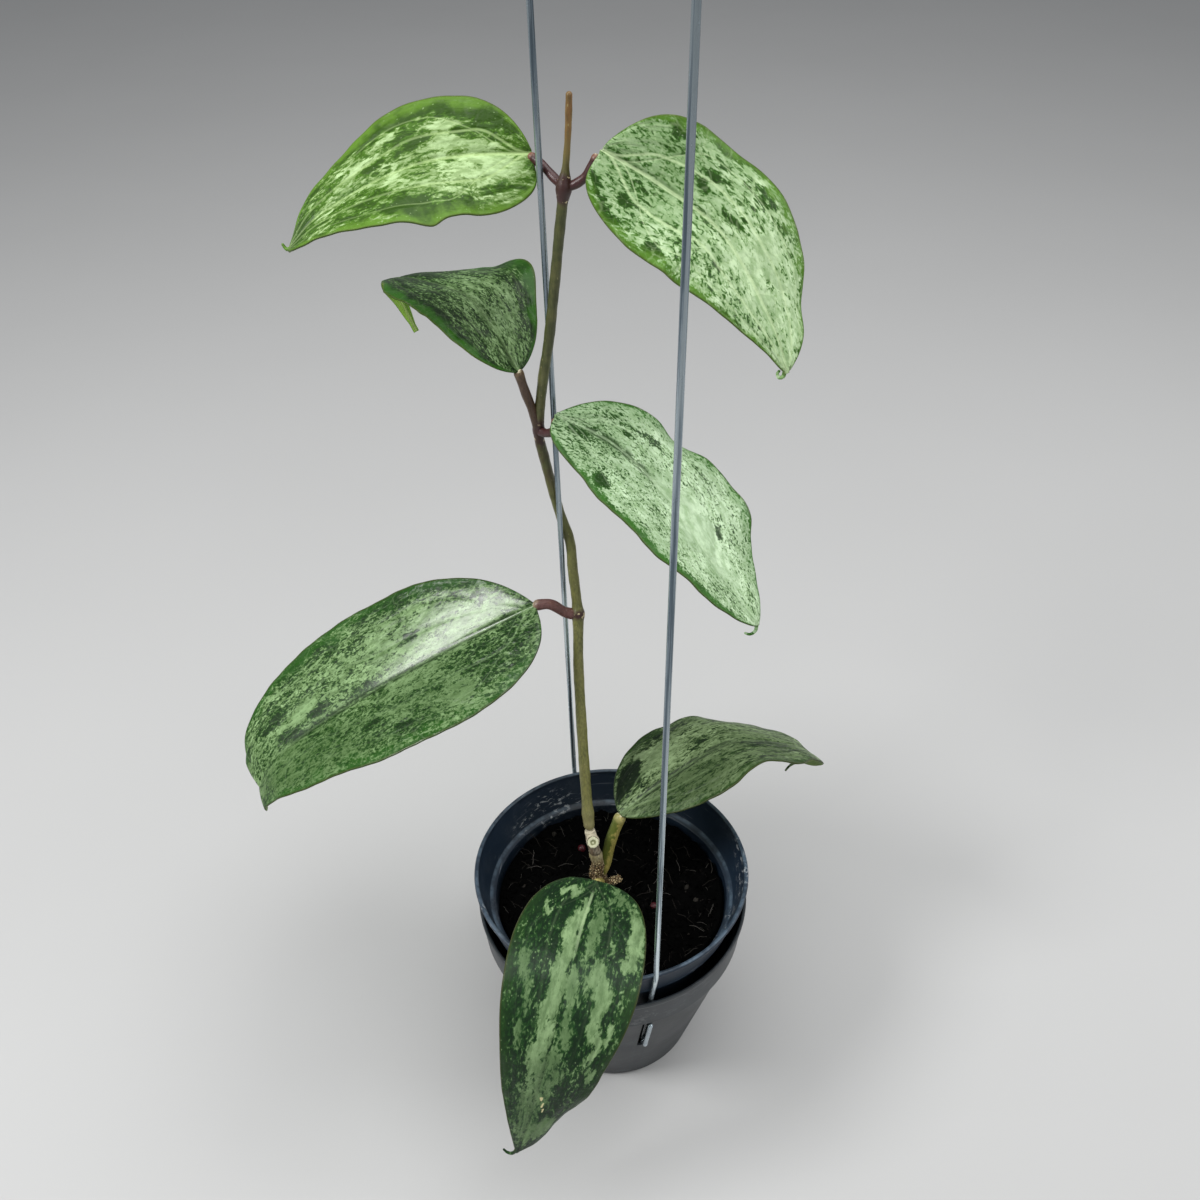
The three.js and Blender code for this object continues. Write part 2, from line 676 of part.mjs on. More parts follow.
place('outer_pot', outerPot(), 0x4a4c50, 0.55);
place('inner_pot', innerPot(), 0x1d2735, 0.4);
place('wire_hoop', bar(wirePath(), () => WIRE.radius, WIRE.sides), 0x9aa8b4, 0.35, 0.8);

const fatTrunk = trunk(GAP);
place('potting_mix', pottingMix([fatTrunk]), 0x14110f, 0.95);
prillPlaces().forEach((at, i) => {
  place(`fertiliser_prill_${i + 1}`, ball(PRILLS.radius, at, 1), 0x7a1420, 0.5);
});

const fatVine = vine(GAP);
const lowStalks = LEAVES.filter((leaf) => leaf.name.startsWith('base')).map((leaf) => stalk(leaf, GAP));
place('woody_base', largestPiece(woodyBase(lowStalks).subtract(fatVine)), 0x9c8a68, 0.85);
place('vine_stem', vine(), 0x6f7440, 0.5);

for (const leaf of LEAVES) {
  const ownStalk = largestPiece(stalk(leaf).subtract(fatVine).subtract(fatTrunk));
  place(`stalk_${leaf.name}`, ownStalk, 0x4a2f2c, 0.5);
  place(`leaf_${leaf.name}`, leafSolid(leaf, stalk(leaf, GAP)), leaf.colour, 0.4);
}

export default plant;
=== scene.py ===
import math

import bmesh
import bpy
import numpy as np
from mathutils import Matrix, Vector, noise as field


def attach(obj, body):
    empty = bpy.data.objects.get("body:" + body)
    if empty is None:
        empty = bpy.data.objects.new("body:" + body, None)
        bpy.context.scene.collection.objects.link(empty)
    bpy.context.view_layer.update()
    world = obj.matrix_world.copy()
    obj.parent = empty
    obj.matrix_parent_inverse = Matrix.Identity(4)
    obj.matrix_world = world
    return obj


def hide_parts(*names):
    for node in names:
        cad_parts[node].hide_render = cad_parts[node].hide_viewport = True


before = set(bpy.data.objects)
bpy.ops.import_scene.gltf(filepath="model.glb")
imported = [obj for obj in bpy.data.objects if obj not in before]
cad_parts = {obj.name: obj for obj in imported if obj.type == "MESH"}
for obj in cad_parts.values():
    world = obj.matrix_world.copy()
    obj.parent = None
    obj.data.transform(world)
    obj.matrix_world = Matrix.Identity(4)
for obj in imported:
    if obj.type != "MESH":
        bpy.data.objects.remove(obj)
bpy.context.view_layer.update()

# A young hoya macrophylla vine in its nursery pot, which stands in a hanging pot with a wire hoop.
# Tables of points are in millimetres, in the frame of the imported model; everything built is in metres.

bl_info = {
    "name": "Potted hoya macrophylla",
    "version": (1, 0, 0),
    "blender": (4, 5, 0),
    "location": "3D View > Sidebar > Hoya",
    "description": "A climbing hoya with silver splashed leaves in two nursery pots with a wire hoop",
    "category": "Object",
}

MM = 0.001
TREES = {}


# Sizes, in millimetres

OUTER_POT = dict(height=84, base=35, band_bottom=53.0, rim=54.6, band=17, step=1.4, wall=1.2, floor=1.4)
INNER_POT = dict(height=96, base=29, ledge=80, ledge_radius=47.8, band_bottom=50.4, band_top=53.9,
                 rim=55, rim_height=1.6, wall=0.9)
INNER_SEAT = Matrix.Translation((-0.5, -5.5, 3.4)) @ Matrix.Rotation(math.radians(-3.3), 4, "X")
MIX = dict(top=79, bottom=1.5, clods=42, clod_radius=(1.0, 2.4), roughness=0.8, root=(-5.0, 5.5))
WIRE = dict(radius=1.0, near=math.radians(-73.7), far=math.radians(107.2), leg=56.6, hook_top=66,
            hook_bottom=41, turn=1.97, near_shoulder=103, far_shoulder=94.5, arch=440, lean=-0.0188)
SLOT = dict(width=4.0, bottom=37.5, top=66.5, offset=-0.7)
PRILLS = dict(radius=1.7, places=[(-12.6, 23.0), (17.3, -6.0)])
TRUNK = [(-4.6, 0, 66), (-5.1, 0, 87), (-5.8, 0.2, 100), (-7.6, 1.2, 110), (-9.0, 3, 117.5)]
STUB = [(-5, 0, 87.5), (-1, -1.2, 90.2), (2.8, -2.2, 93.4)]
SCAR = [(-8.0, 1.6, 113.2), (-7.7, -0.6, 115.0), (-7.6, -2.2, 116.3)]
VINE = [
    (-9.0, 3, 117.5), (-10.0, 8.5, 127), (-11.6, 20, 151), (-13.0, 34, 176), (-13.2, 45, 193.7),
    (-14.9, 51.8, 209.5), (-15.9, 55.9, 220), (-19.5, 58, 232), (-24.0, 56.5, 256), (-25.5, 54, 270),
    (-23.1, 51.3, 291), (-20.3, 50.2, 308), (-16.4, 50, 340), (-14.3, 50, 357), (-12.9, 50.8, 371),
    (-12.3, 52, 383),
]
# Each node of the stem: height, swelling, spread; and where its skin is dark: height, amount, spread.
NODES = [(123.5, 0.35, 1.6), (193.7, 0.75, 2.0), (270, 0.4, 2.2), (356, 0.9, 3.0)]
DARK_NODES = [(193.7, 0.62, 2.3), (255, 0.38, 14.0), (270, 0.9, 5.0), (356, 1.0, 4.5)]
BLADE_HOME = 11 / 24
NARROWEST = 0.8
FLOOR = 3000

# A blade is a midrib through a few points, the way it faces, half widths to its left and right, and a few
# ripples: side, place along the blade, spread, lift, reach.
LEAVES = {
    "top_left": dict(
        midrib=[(-24.2, 60.2, 362.5), (-44.5, 60.7, 361.5), (-63.5, 57, 358.5), (-87, 51, 348),
                (-99, 48, 337.5)],
        facing=(0, -0.61, 1), twist=(-30, 25), width=(23, 20.5), widest=(0.37, 0.42), fullness=(1.15, 1.5),
        fold=13, droop=0.09, lobe=(3.5, -0.3),
        ripples=[(-1, 0.27, 0.1, 1.1, -1.4), (-1, 0.44, 0.06, -1.9, 1.2), (1, 0.64, 0.13, -1.3, -0.5)],
        tail=[(-97.5, 48, 338.5), (-99.6, 48.2, 338), (-101, 49, 339.5)],
        stalk=[(-14.3, 50, 356), (-17.5, 54.2, 357.5), (-21, 57.4, 360), (-25.2, 60.2, 362.3)],
        stalk_radius=1.4),
    "top_right": dict(
        midrib=[(-3, 49, 367.5), (14.5, 48, 357), (33, 44, 343.5), (48.5, 36, 319), (54, 30, 305)],
        facing=(0.06, -0.84, 1), twist=(20, -7), width=(24, 22), widest=(0.41, 0.33), fullness=(1.25, 1.35),
        fold=12, droop=0.11, lobe=(-1, 3),
        ripples=[(-1, 0.36, 0.11, -1.7, -2.0), (-1, 0.82, 0.07, -1.6, -1.0), (1, 0.5, 0.12, -1.3, 1.5)],
        tail=[(53.5, 31, 307), (53.2, 30, 304.3), (51.8, 29.6, 303.8), (51.2, 30, 305), (52, 30.4, 306)],
        stalk=[(-14.3, 50, 356), (-10.5, 49.6, 357.5), (-7.3, 49, 360.5), (-4.3, 48.8, 366.3)],
        stalk_radius=1.4),
    "upper_left": dict(
        midrib=[(-31, 49, 295), (-39.5, 61, 304.5), (-50, 77, 308.5), (-65, 90.5, 307), (-74.5, 97, 305.5),
                (-78.5, 99.5, 301.5), (-75, 97, 294), (-71, 94, 286.5)],
        facing=(0.42, -0.45, 1), twist=(6, 22), width=(19, 21.5), widest=(0.41, 0.44), fullness=(1.35, 1.45),
        fold=10, droop=0.14, lobe=(-0.5, -0.5), taper=(0.62, 0.88, 0.75),
        ripples=[(1, 0.38, 0.08, 5.0, 4.0), (1, 0.68, 0.06, -1.7, -0.2), (-1, 0.6, 0.1, 0.5, 2.5)],
        stalk=[(-25.5, 54, 269.5), (-27, 52.4, 278), (-29.2, 50.4, 287), (-31.2, 49.4, 295.8)],
        stalk_radius=1.6),
    "middle_right": dict(
        midrib=[(-19, 48, 279.5), (1, 46, 268), (19.5, 37, 251.5), (35.5, 24, 232), (50.5, 13, 216)],
        facing=(0.41, -0.42, 1), twist=(5, -20), width=(26, 25), widest=(0.54, 0.44), fullness=(1.55, 1.15),
        fold=13, droop=0.11, lobe=(0, 2.5),
        ripples=[(-1, 0.37, 0.08, -3.9, -2.8), (-1, 0.67, 0.09, 3.5, 1.2), (1, 0.43, 0.1, 1.3, -0.9),
                 (1, 0.72, 0.09, 1.5, -0.8)],
        tail=[(50, 13.5, 217), (49.8, 12.5, 214.2), (48, 12, 212.8), (45.8, 12, 213.4)],
        stalk=[(-25.5, 54, 269.5), (-22.5, 50.6, 270.6), (-19.8, 48.3, 273.2), (-19, 47.6, 278.2)],
        stalk_radius=1.5),
    "middle_left": dict(
        midrib=[(-29, 42, 200.5), (-63, 36, 183), (-99.5, 26, 164.5), (-128, 15, 148.5), (-136.5, 11, 137),
                (-137.5, 11, 133), (-137.5, 14, 129)],
        facing=(-0.13, -0.22, 1), twist=(-14, 2), width=(36.5, 36.5), widest=(0.4, 0.51), fullness=(1.0, 1.3),
        fold=14, droop=0.1, lobe=(1, -1),
        ripples=[(-1, 0.66, 0.08, 1.2, -0.6), (1, 0.3, 0.08, 1.0, 0.2)],
        stalk=[(-13.2, 45, 193.4), (-18, 44.4, 195.2), (-23.5, 43, 200.2), (-30, 42, 200.4)],
        stalk_radius=2.0),
    "base_right": dict(
        midrib=[(3, 8, 121), (22, 16, 132.5), (46.5, 26, 142.5), (70, 31.5, 136), (80, 32, 130),
                (81.5, 34, 125), (77, 36, 121.5)],
        facing=(-0.18, 0.14, 1), twist=(12, -20), width=(30, 23.5), widest=(0.35, 0.51), fullness=(1.4, 1.7),
        fold=6, droop=0.13, lobe=(0, 1), taper=(0.72, 0.95, 0.5),
        ripples=[(-1, 0.35, 0.06, -1.6, -0.3), (-1, 0.56, 0.11, -4.0, -1.5), (-1, 0.86, 0.08, 1.5, 2.0),
                 (1, 0.58, 0.1, 3.0, -2.7)],
        tail=[(78.5, 35.6, 122.6), (76, 36.2, 120.6), (73.5, 36.2, 118.6), (71.6, 35.5, 116)],
        stalk=[(-5.6, 0, 93), (-3, 1.8, 98.5), (-0.4, 5, 110), (3.6, 8.3, 121.2)], stalk_radius=2.3),
    "base_front": dict(
        midrib=[(-6, -20, 115), (-11.5, -43, 117.5), (-16, -65, 115.5), (-22, -81, 98), (-29, -88, 69.5),
                (-36, -90, 44.5)],
        facing=(0.09, -0.74, 1), twist=(10, -9), width=(25.5, 23.5), widest=(0.3, 0.28), fullness=(1.1, 1.4),
        fold=9, droop=0.15, lobe=(-0.5, 1.5),
        ripples=[(-1, 0.57, 0.11, -0.7, -1.1), (-1, 0.81, 0.09, -2.7, -1.7), (1, 0.58, 0.11, -0.1, -0.7)],
        tail=[(-35.6, -89.8, 46), (-37.4, -89.8, 43), (-39.4, -89.5, 42.8), (-41, -89, 44.6)],
        stalk=[(-5.2, 0, 89), (-5.4, -8, 97), (-5.8, -15, 107), (-6.1, -20.8, 114.6)], stalk_radius=2.0),
}

# How each blade is coloured, from its dark green to its palest silver. Cover is the share of silver, and
# weights are the shares of blotches, flakes, specks and streaks in its edges. Grain makes all of them
# finer, and a small draw makes them longer. Margin is how lime green the rim is, and from the edge value on
# the silver fades. A patch is place along, side, spread along, spread across, amount: more silver where the
# amount is above zero, more green below; a few pale patches are painted sheen, where the gloss catches the
# light. Dull spots are silver without its pale flecks: some are the blade's own duller silver, and some are
# painted shade on the blade halves that face away from the light. Scars are small corky marks. A line is
# the dark edging of the midrib: start, end, strength. Vein strength fades to the share far_veins along the
# blade; net is the net of small veins, midrib and midrib_end the pale midrib, and dots are round pale dots.
# Gloss is the roughness of the wax and the weight of its clear coat, which ends at shine_end. Below is the
# underside's colour.
LOOKS = {
    "top_left": dict(
        dark="#2d4c09", green="#446b18", lime="#638c2b", silver="#728f4f", pale="#b8d49a", vein="#bcd892",
        cover=0.455, vein_strength=0.6, far_veins=0.5, net=0.04, grain=1.25, seed=1.0,
        line=(0, 0.1, 0.0), weights=(0.8, 1.3, 0.7, 0.5),
        draw=0.9, margin=0.75, edge=0.86, gloss=(0.42, 0.0),
        patches=[(0.27, 0.20, 0.14, 0.18, 0.35), (0.30, 0.55, 0.06, 0.08, 0.35),
                 (0.49, 0.60, 0.05, 0.10, 0.4),
                 (0.66, 0.37, 0.05, 0.15, 0.35), (0.16, -0.25, 0.10, 0.30, 0.4),
                 (0.34, -0.35, 0.16, 0.25, 0.25),
                 (0.27, 0.40, 0.03, 0.05, -0.6), (0.18, 0.78, 0.14, 0.15, -0.4),
                 (0.49, 0.87, 0.20, 0.15, -0.5),
                 (0.51, -0.70, 0.07, 0.12, -0.8), (0.27, -0.87, 0.07, 0.12, -0.8),
                 (0.43, -0.92, 0.08, 0.14, -0.8),
                 (0.40, 0.30, 0.05, 0.08, -0.4), (0.56, 0.25, 0.05, 0.06, -0.35),
                 (0.95, 0.0, 0.10, 0.8, -0.3)]),
    "top_right": dict(
        dark="#234409", green="#335f18", lime="#5f8d2c", silver="#84a66c", pale="#cbe4b6", vein="#cfe6b0",
        cover=0.64, vein_strength=0.7, far_veins=0.7, net=0.2, grain=1.2, seed=2.0,
        line=(0, 0.5, 0.3), weights=(0.4, 0.85, 1.5, 0.4),
        draw=0.8, margin=0.7, edge=0.85, gloss=(0.40, 0.0),
        patches=[(0.14, 0.53, 0.03, 0.07, -0.9), (0.19, -0.80, 0.04, 0.12, -0.8),
                 (0.16, 0.20, 0.05, 0.03, -0.7),
                 (0.34, -0.32, 0.03, 0.08, -0.85), (0.35, -0.50, 0.05, 0.06, -0.6),
                 (0.37, -0.93, 0.06, 0.1, -0.5),
                 (0.49, -0.80, 0.04, 0.07, -0.5), (0.45, -0.23, 0.05, 0.04, -0.55),
                 (0.70, -0.25, 0.05, 0.03, -0.5),
                 (0.56, 0.44, 0.02, 0.04, -0.7), (0.30, 0.85, 0.04, 0.12, -0.7),
                 (0.11, 0.87, 0.04, 0.12, -0.5),
                 (0.05, 0.73, 0.025, 0.12, -0.7), (0.75, -0.20, 0.22, 0.60, 0.25)],
        # The dull spot over the base half is painted shade, where the blade faces away from the light.
        dull_and_shade=[(0.12, -0.30, 0.28, 0.90, 0.65)]),
    "upper_left": dict(
        dark="#0e2406", green="#1a370a", lime="#2f6410", silver="#4c6a37", pale="#93b07d", vein="#86a26d",
        cover=0.46, vein_strength=0.3, seed=3.0, line=(0, 0.5, 0.3), weights=(0.5, 0.9, 1.2, 0.7),
        draw=0.6, margin=0.8, grain=2.1,
        edge=0.75, gloss=(0.36, 0.0), below="#8fb84a",
        patches=[(0.25, 0.1, 0.3, 0.5, 0.2), (0.3, -0.95, 0.4, 0.2, -0.6), (0.8, 0, 0.2, 1.0, -0.25)]),
    "middle_right": dict(
        dark="#1c3f0a", green="#265012", lime="#3b7322", silver="#8fb07c", pale="#d3ecc5", vein="#cde6bb",
        cover=0.72, vein_strength=0.35, far_veins=0.4, net=0.1, grain=1.8, seed=4.0,
        line=(0.1, 0.4, 0.9), weights=(0.5, 0.8, 1.7, 0.5),
        draw=0.9, margin=0.7, edge=0.9, gloss=(0.36, 0.12),
        patches=[(0.24, 0.75, 0.04, 0.14, -0.9), (0.30, -0.50, 0.07, 0.05, -0.6),
                 (0.23, -0.36, 0.03, 0.05, -0.5),
                 (0.66, -0.37, 0.025, 0.05, -0.9), (0.08, 0.20, 0.04, 0.12, -0.4),
                 (0.24, 0.53, 0.03, 0.05, -0.4),
                 (0.80, 0.92, 0.12, 0.10, -0.6), (0.06, 0.97, 0.05, 0.10, -0.6),
                 # The next patch is painted sheen: paler silver where the gloss catches the light.
                 (0.62, -0.10, 0.20, 0.25, 0.45),
                 (0.45, 0.98, 0.40, 0.09, -0.5), (0.12, 0.0, 0.1, 0.9, -0.12)],
        dull_and_shade=[(0.10, 0.0, 0.18, 1.1, 0.6), (0.45, -0.15, 0.14, 0.12, 0.4)]),
    "middle_left": dict(
        dark="#0e2b02", green="#1a4207", lime="#285f0e", silver="#54703e", pale="#93b37c", vein="#a2c28b",
        cover=0.56, vein_strength=0.28, far_veins=0.35, net=0.4, grain=1.3, seed=5.0,
        line=(0.05, 0.8, 0.9), weights=(0.5, 1.1, 1.4, 0.4),
        draw=1.0, margin=0.55, edge=0.92, gloss=(0.28, 0.55), shine_end=0.46,
        patches=[(0.54, 0.08, 0.03, 0.05, -0.25), (0.67, 0.17, 0.035, 0.06, -0.45),
                 (0.35, 0.40, 0.05, 0.05, -0.5),
                 (0.78, 0.12, 0.04, 0.12, -0.5), (0.80, 0.47, 0.04, 0.12, -0.4),
                 (0.53, -0.51, 0.03, 0.08, -0.45),
                 (0.45, -0.72, 0.03, 0.08, -0.4), (0.13, -0.42, 0.10, 0.30, -0.22),
                 (0.25, -0.23, 0.08, 0.12, -0.15),
                 (0.30, 0.93, 0.25, 0.10, -0.3), (0.67, 0.90, 0.12, 0.12, -0.3),
                 (0.73, 0.28, 0.05, 0.12, 0.4),
                 # The first patch on the next line is painted sheen near the base of the upper half, where the
                 # gloss catches the light.
                 (0.25, 0.30, 0.2, 0.35, 0.3), (0.37, -0.20, 0.10, 0.12, 0.3), (0.27, -0.64, 0.05, 0.15, 0.3),
                 (0.50, 0.40, 0.12, 0.25, 0.15)],
        # The dull spots on the lower half are partly painted shade, where that half faces away from the light.
        dull_and_shade=[(0.75, -0.50, 0.25, 0.60, 0.8), (0.37, -0.20, 0.12, 0.15, 0.5), (0.45, -0.5, 0.4, 0.45, 0.55)]),
    "base_right": dict(
        dark="#0b1d08", green="#1d3510", lime="#35551f", silver="#546741", pale="#8ba175", vein="#7f9869",
        cover=0.58, vein_strength=0.4, far_veins=0.3, net=0.1, grain=1.4, seed=6.0,
        line=(0.1, 0.55, 0.8), weights=(0.6, 0.8, 1.2, 0.5),
        draw=0.7, margin=0.5, edge=0.9, gloss=(0.42, 0.05),
        patches=[(0.095, -0.58, 0.07, 0.2, -1.7), (0.38, -0.23, 0.05, 0.03, -0.6),
                 (0.29, -0.85, 0.03, 0.08, -0.5),
                 (0.26, -0.45, 0.12, 0.25, 0.25), (0.55, -0.3, 0.2, 0.4, 0.1), (0.30, 0.50, 0.30, 0.45, 0.1)],
        dull_and_shade=[(0.28, 0.50, 0.25, 0.50, 1.0), (0.60, 0.3, 0.15, 0.6, 0.6)]),
    "base_front": dict(
        dark="#0e2710", green="#1d3f19", lime="#2c4d1a", silver="#567246", pale="#8ca877", vein="#a9c292",
        cover=0.29, vein_strength=0.08, far_veins=0.2, net=0.05, dots=0.5, midrib=0.6, midrib_end=0.28,
        grain=1.0, seed=7.0, line=(0.0, 0.1, 0.0),
        weights=(0.4, 1.0, 1.2, 0.4), draw=0.8, margin=0.3, edge=0.96, gloss=(0.44, 0.05),
        patches=[(0.12, 0.04, 0.05, 0.06, 0.9), (0.22, 0.14, 0.09, 0.12, 0.9), (0.16, -0.22, 0.11, 0.13, 0.5),
                 (0.065, 0.45, 0.018, 0.22, 0.9), (0.15, 0.68, 0.02, 0.09, 0.6),
                 (0.17, -0.87, 0.10, 0.13, 0.8),
                 (0.05, -0.62, 0.04, 0.20, 0.5), (0.34, 0.72, 0.04, 0.13, 0.55),
                 (0.40, 0.60, 0.03, 0.05, 0.5),
                 (0.51, 0.66, 0.05, 0.08, 0.45), (0.37, 0.16, 0.07, 0.17, 0.7),
                 (0.47, 0.20, 0.08, 0.17, 0.65),
                 (0.58, 0.26, 0.07, 0.17, 0.65), (0.37, -0.08, 0.06, 0.08, 0.5),
                 (0.47, -0.14, 0.07, 0.10, 0.5),
                 (0.61, -0.06, 0.09, 0.24, 0.5), (0.33, -0.41, 0.055, 0.15, 0.75),
                 (0.39, -0.52, 0.05, 0.12, 0.7),
                 (0.46, -0.53, 0.04, 0.10, 0.75), (0.52, -0.66, 0.05, 0.06, 0.8),
                 (0.59, -0.77, 0.03, 0.09, 0.65),
                 (0.45, -0.80, 0.04, 0.05, 0.6), (0.27, -0.73, 0.02, 0.07, 0.6),
                 (0.74, 0.20, 0.08, 0.40, 0.5),
                 (0.88, 0.10, 0.08, 0.80, 0.55), (0.84, -0.53, 0.06, 0.25, 0.5),
                 (0.21, -0.53, 0.03, 0.06, 0.4)],
        dull_and_shade=[(0.16, -0.22, 0.12, 0.16, 0.8), (0.05, -0.62, 0.05, 0.25, 0.8), (0.34, 0.72, 0.06, 0.20, 0.8),
              (0.46, 0.65, 0.12, 0.15, 0.8), (0.37, -0.08, 0.07, 0.09, 0.8), (0.47, -0.14, 0.08, 0.11, 0.8),
              (0.61, -0.08, 0.10, 0.25, 0.8), (0.80, 0.10, 0.13, 0.90, 0.7), (0.3, -0.3, 0.25, 0.3, 0.5)],
        scars=[(0.720, -0.08, 0.010, 0.05), (0.745, -0.15, 0.012, 0.03), (0.765, -0.21, 0.010, 0.03)]),
}



def linear(code):
    """The linear colour of a code such as #4a6b2c."""
    parts = [int(code[i:i + 2], 16) / 255 for i in (1, 3, 5)]
    return tuple(p / 12.92 if p <= 0.04045 else ((p + 0.055) / 1.055) ** 2.4 for p in parts) + (1.0,)


# Settings that a user would change

def number_setting(label, hint, default, **limits):
    return bpy.props.FloatProperty(name=label, description=hint, default=default, **limits)


def length_setting(label, hint, default):
    return number_setting(label, hint, default, min=0.0, unit="LENGTH", precision=5)


def share_setting(label, hint, default):
    return number_setting(label, hint, default, min=0.0, max=1.0, subtype="FACTOR")


def colour_setting(label, hint, code):
    return bpy.props.FloatVectorProperty(name=label, description=hint, default=linear(code), size=4, min=0.0,
                                         max=1.0, subtype="COLOR")


class HoyaLeafSettings(bpy.types.PropertyGroup):
    middle: length_setting("Middle thickness", "Thickness of a blade beside its midrib", 0.0013)
    edge: length_setting("Edge thickness", "Thickness of a blade at its edge", 0.0006)
    groove: length_setting("Midrib groove", "Depth of the groove over the midrib", 0.0003)
    rib: length_setting("Midrib ridge", "How far the midrib stands proud below, at the stalk", 0.0009)
    matt: share_setting("Silver roughness", "How much rougher the silver is than the green around it", 0.08)
    underside: colour_setting("Underside", "Colour of the plain underside", "#7c9457")


class HoyaStemSettings(bpy.types.PropertyGroup):
    stem: colour_setting("Stem", "Colour of the lower stem", "#74743e")
    young_stem: colour_setting("Young stem", "Colour of the upper stem", "#474d26")
    node: colour_setting("Node", "Colour of the swollen nodes", "#3d2320")
    maroon: colour_setting("Maroon stalk", "Colour of the upper leaf stalks", "#4b2a29")
    green: colour_setting("Green stalk", "Colour of the lowest leaf stalks", "#b3a65c")
    bark: colour_setting("Bark", "Colour of the woody base", "#a39985")
    callus: colour_setting("Callus", "Colour of the callus on the woody base", "#b39a6a")
    scar: colour_setting("Scar", "Colour of the round cut scar", "#d6d6b4")


class HoyaPotSettings(bpy.types.PropertyGroup):
    sides: bpy.props.IntProperty(name="Sides", description="Sides of the turned pots", default=160, min=24)
    outer: colour_setting("Outer pot", "Colour of the hanging pot", "#23292d")
    inner: colour_setting("Inner pot", "Colour of the nursery pot", "#14212f")
    dust: colour_setting("Dust", "Colour of dust and scuffs on the pots", "#8d949b")
    wear: share_setting("Wear", "How much dust and how many scratches the pots have", 0.5)


class HoyaWireSettings(bpy.types.PropertyGroup):
    radius: length_setting("Wire radius", "Radius of the hoop's wire", WIRE["radius"] * MM)
    zinc: colour_setting("Zinc", "Colour of the galvanised wire", "#b2c0c8")


class HoyaMixSettings(bpy.types.PropertyGroup):
    crumbs: number_setting("Crumbs", "Crumbs of mix on each square metre", 260000.0)
    fibres: number_setting("Fibres", "Coir fibres on each square metre", 42000.0)
    peat: colour_setting("Mix", "Colour of the moist potting mix", "#020202")
    fibre: colour_setting("Fibre", "Colour of the coir fibres", "#2b2825")
    prill: colour_setting("Prill", "Colour of the coated fertiliser prills", "#480914")


class HoyaStageSettings(bpy.types.PropertyGroup):
    floor: colour_setting("Floor", "Colour of the pale floor", "#c4c4c3")
    key: number_setting("Key light", "Power of the soft overhead light", 12.0)
    side: number_setting("Side light", "Power of the smaller light from the left", 5.5)
    fill: number_setting("Fill light", "Power of the soft front light", 2.5)
    sky: number_setting("Room light", "Strength of the even room light", 0.28)


# Curves and seeded draws

def spline(points, places):
    """Points of the smooth curve through the given points, at places from 0 to 1."""
    known = np.asarray(points, float)
    last = len(known) - 1
    known = np.vstack([2 * known[0] - known[1], known, 2 * known[-1] - known[-2]])
    s = np.clip(np.asarray(places, float) * last, 0, last - 1e-9)
    i = s.astype(int)
    w = (s - i)[:, None]
    a, b, c, d = known[i], known[i + 1], known[i + 2], known[i + 3]
    return 0.5 * (2 * b + (c - a) * w + (2 * a - 5 * b + 4 * c - d) * w ** 2 + (3 * b - a - 3 * c + d) * w ** 3)


def run_along(path):
    """How far along a path each of its points is."""
    return np.concatenate([[0], np.cumsum(np.linalg.norm(np.diff(path, axis=0), axis=1))])


def spline_by_length(points, shares):
    """Points of the smooth curve at shares of its length, its directions there, and its length."""
    fine = np.linspace(0, 1, 3001)
    run = run_along(spline(points, fine))
    place = np.interp(np.asarray(shares) * run[-1], run, fine)
    along = spline(points, np.clip(place + 1e-4, 0, 1)) - spline(points, np.clip(place - 1e-4, 0, 1))
    return spline(points, place), along / np.linalg.norm(along, axis=1)[:, None], run[-1]


def smoothstep(x, low, high):
    s = np.clip((np.asarray(x, float) - low) / (high - low), 0, 1)
    return s * s * (3 - 2 * s)


def bell(x, centre, spread):
    """A soft bump, 1 high at its centre."""
    return np.exp(-((x - centre) / spread) ** 2)


def draws(seed):
    """The same numbers from 0 to 1 every time, as in the part's source."""
    state = seed
    while True:
        state = (state * 1664525 + 1013904223) % 4294967296
        yield state / 4294967296


def waves(points, *scales):
    """Seeded noise at each point: the sum of a few (amount, scale)."""
    return sum(amount * np.array([field.noise(Vector(p * scale)) for p in points]) for amount, scale in scales)


# Meshes and objects

def shade_smooth(mesh):
    mesh.polygons.foreach_set("use_smooth", [True] * len(mesh.polygons))


def new_mesh(name, points, faces, smooth=True):
    """A mesh from points in millimetres."""
    mesh = bpy.data.meshes.new(name)
    mesh.from_pydata([tuple(p) for p in np.asarray(points, float) * MM], [], [tuple(f) for f in faces])
    mesh.update()
    if smooth:
        shade_smooth(mesh)
    return mesh


def new_object(name, mesh, material=None):
    piece = bpy.data.objects.new(name, mesh)
    bpy.context.scene.collection.objects.link(piece)
    if material is not None:
        mesh.materials.clear()
        mesh.materials.append(material)
    return piece


def set_attribute(mesh, name, values, kind="FLOAT"):
    layer = mesh.attributes.new(name, kind, "POINT")
    layer.data.foreach_set("value" if kind == "FLOAT" else "vector", np.asarray(values, np.float32).ravel())


def applied(piece):
    """Turns a piece's modifiers into its plain mesh."""
    mesh = bpy.data.meshes.new_from_object(piece.evaluated_get(bpy.context.evaluated_depsgraph_get()))
    piece.modifiers.clear()
    piece.data = mesh
    shade_smooth(mesh)
    mesh.update()
    return piece


def finish_piece(piece, slot, *nodes):
    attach(piece, "root")
    if nodes:
        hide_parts(*nodes)


def ring_faces(rows, around):
    """The faces between rows of rings that follow each other."""
    return [(row + j, row + (j + 1) % around, row + around + (j + 1) % around, row + around + j)
            for row in range(0, rows * around, around) for j in range(around)]


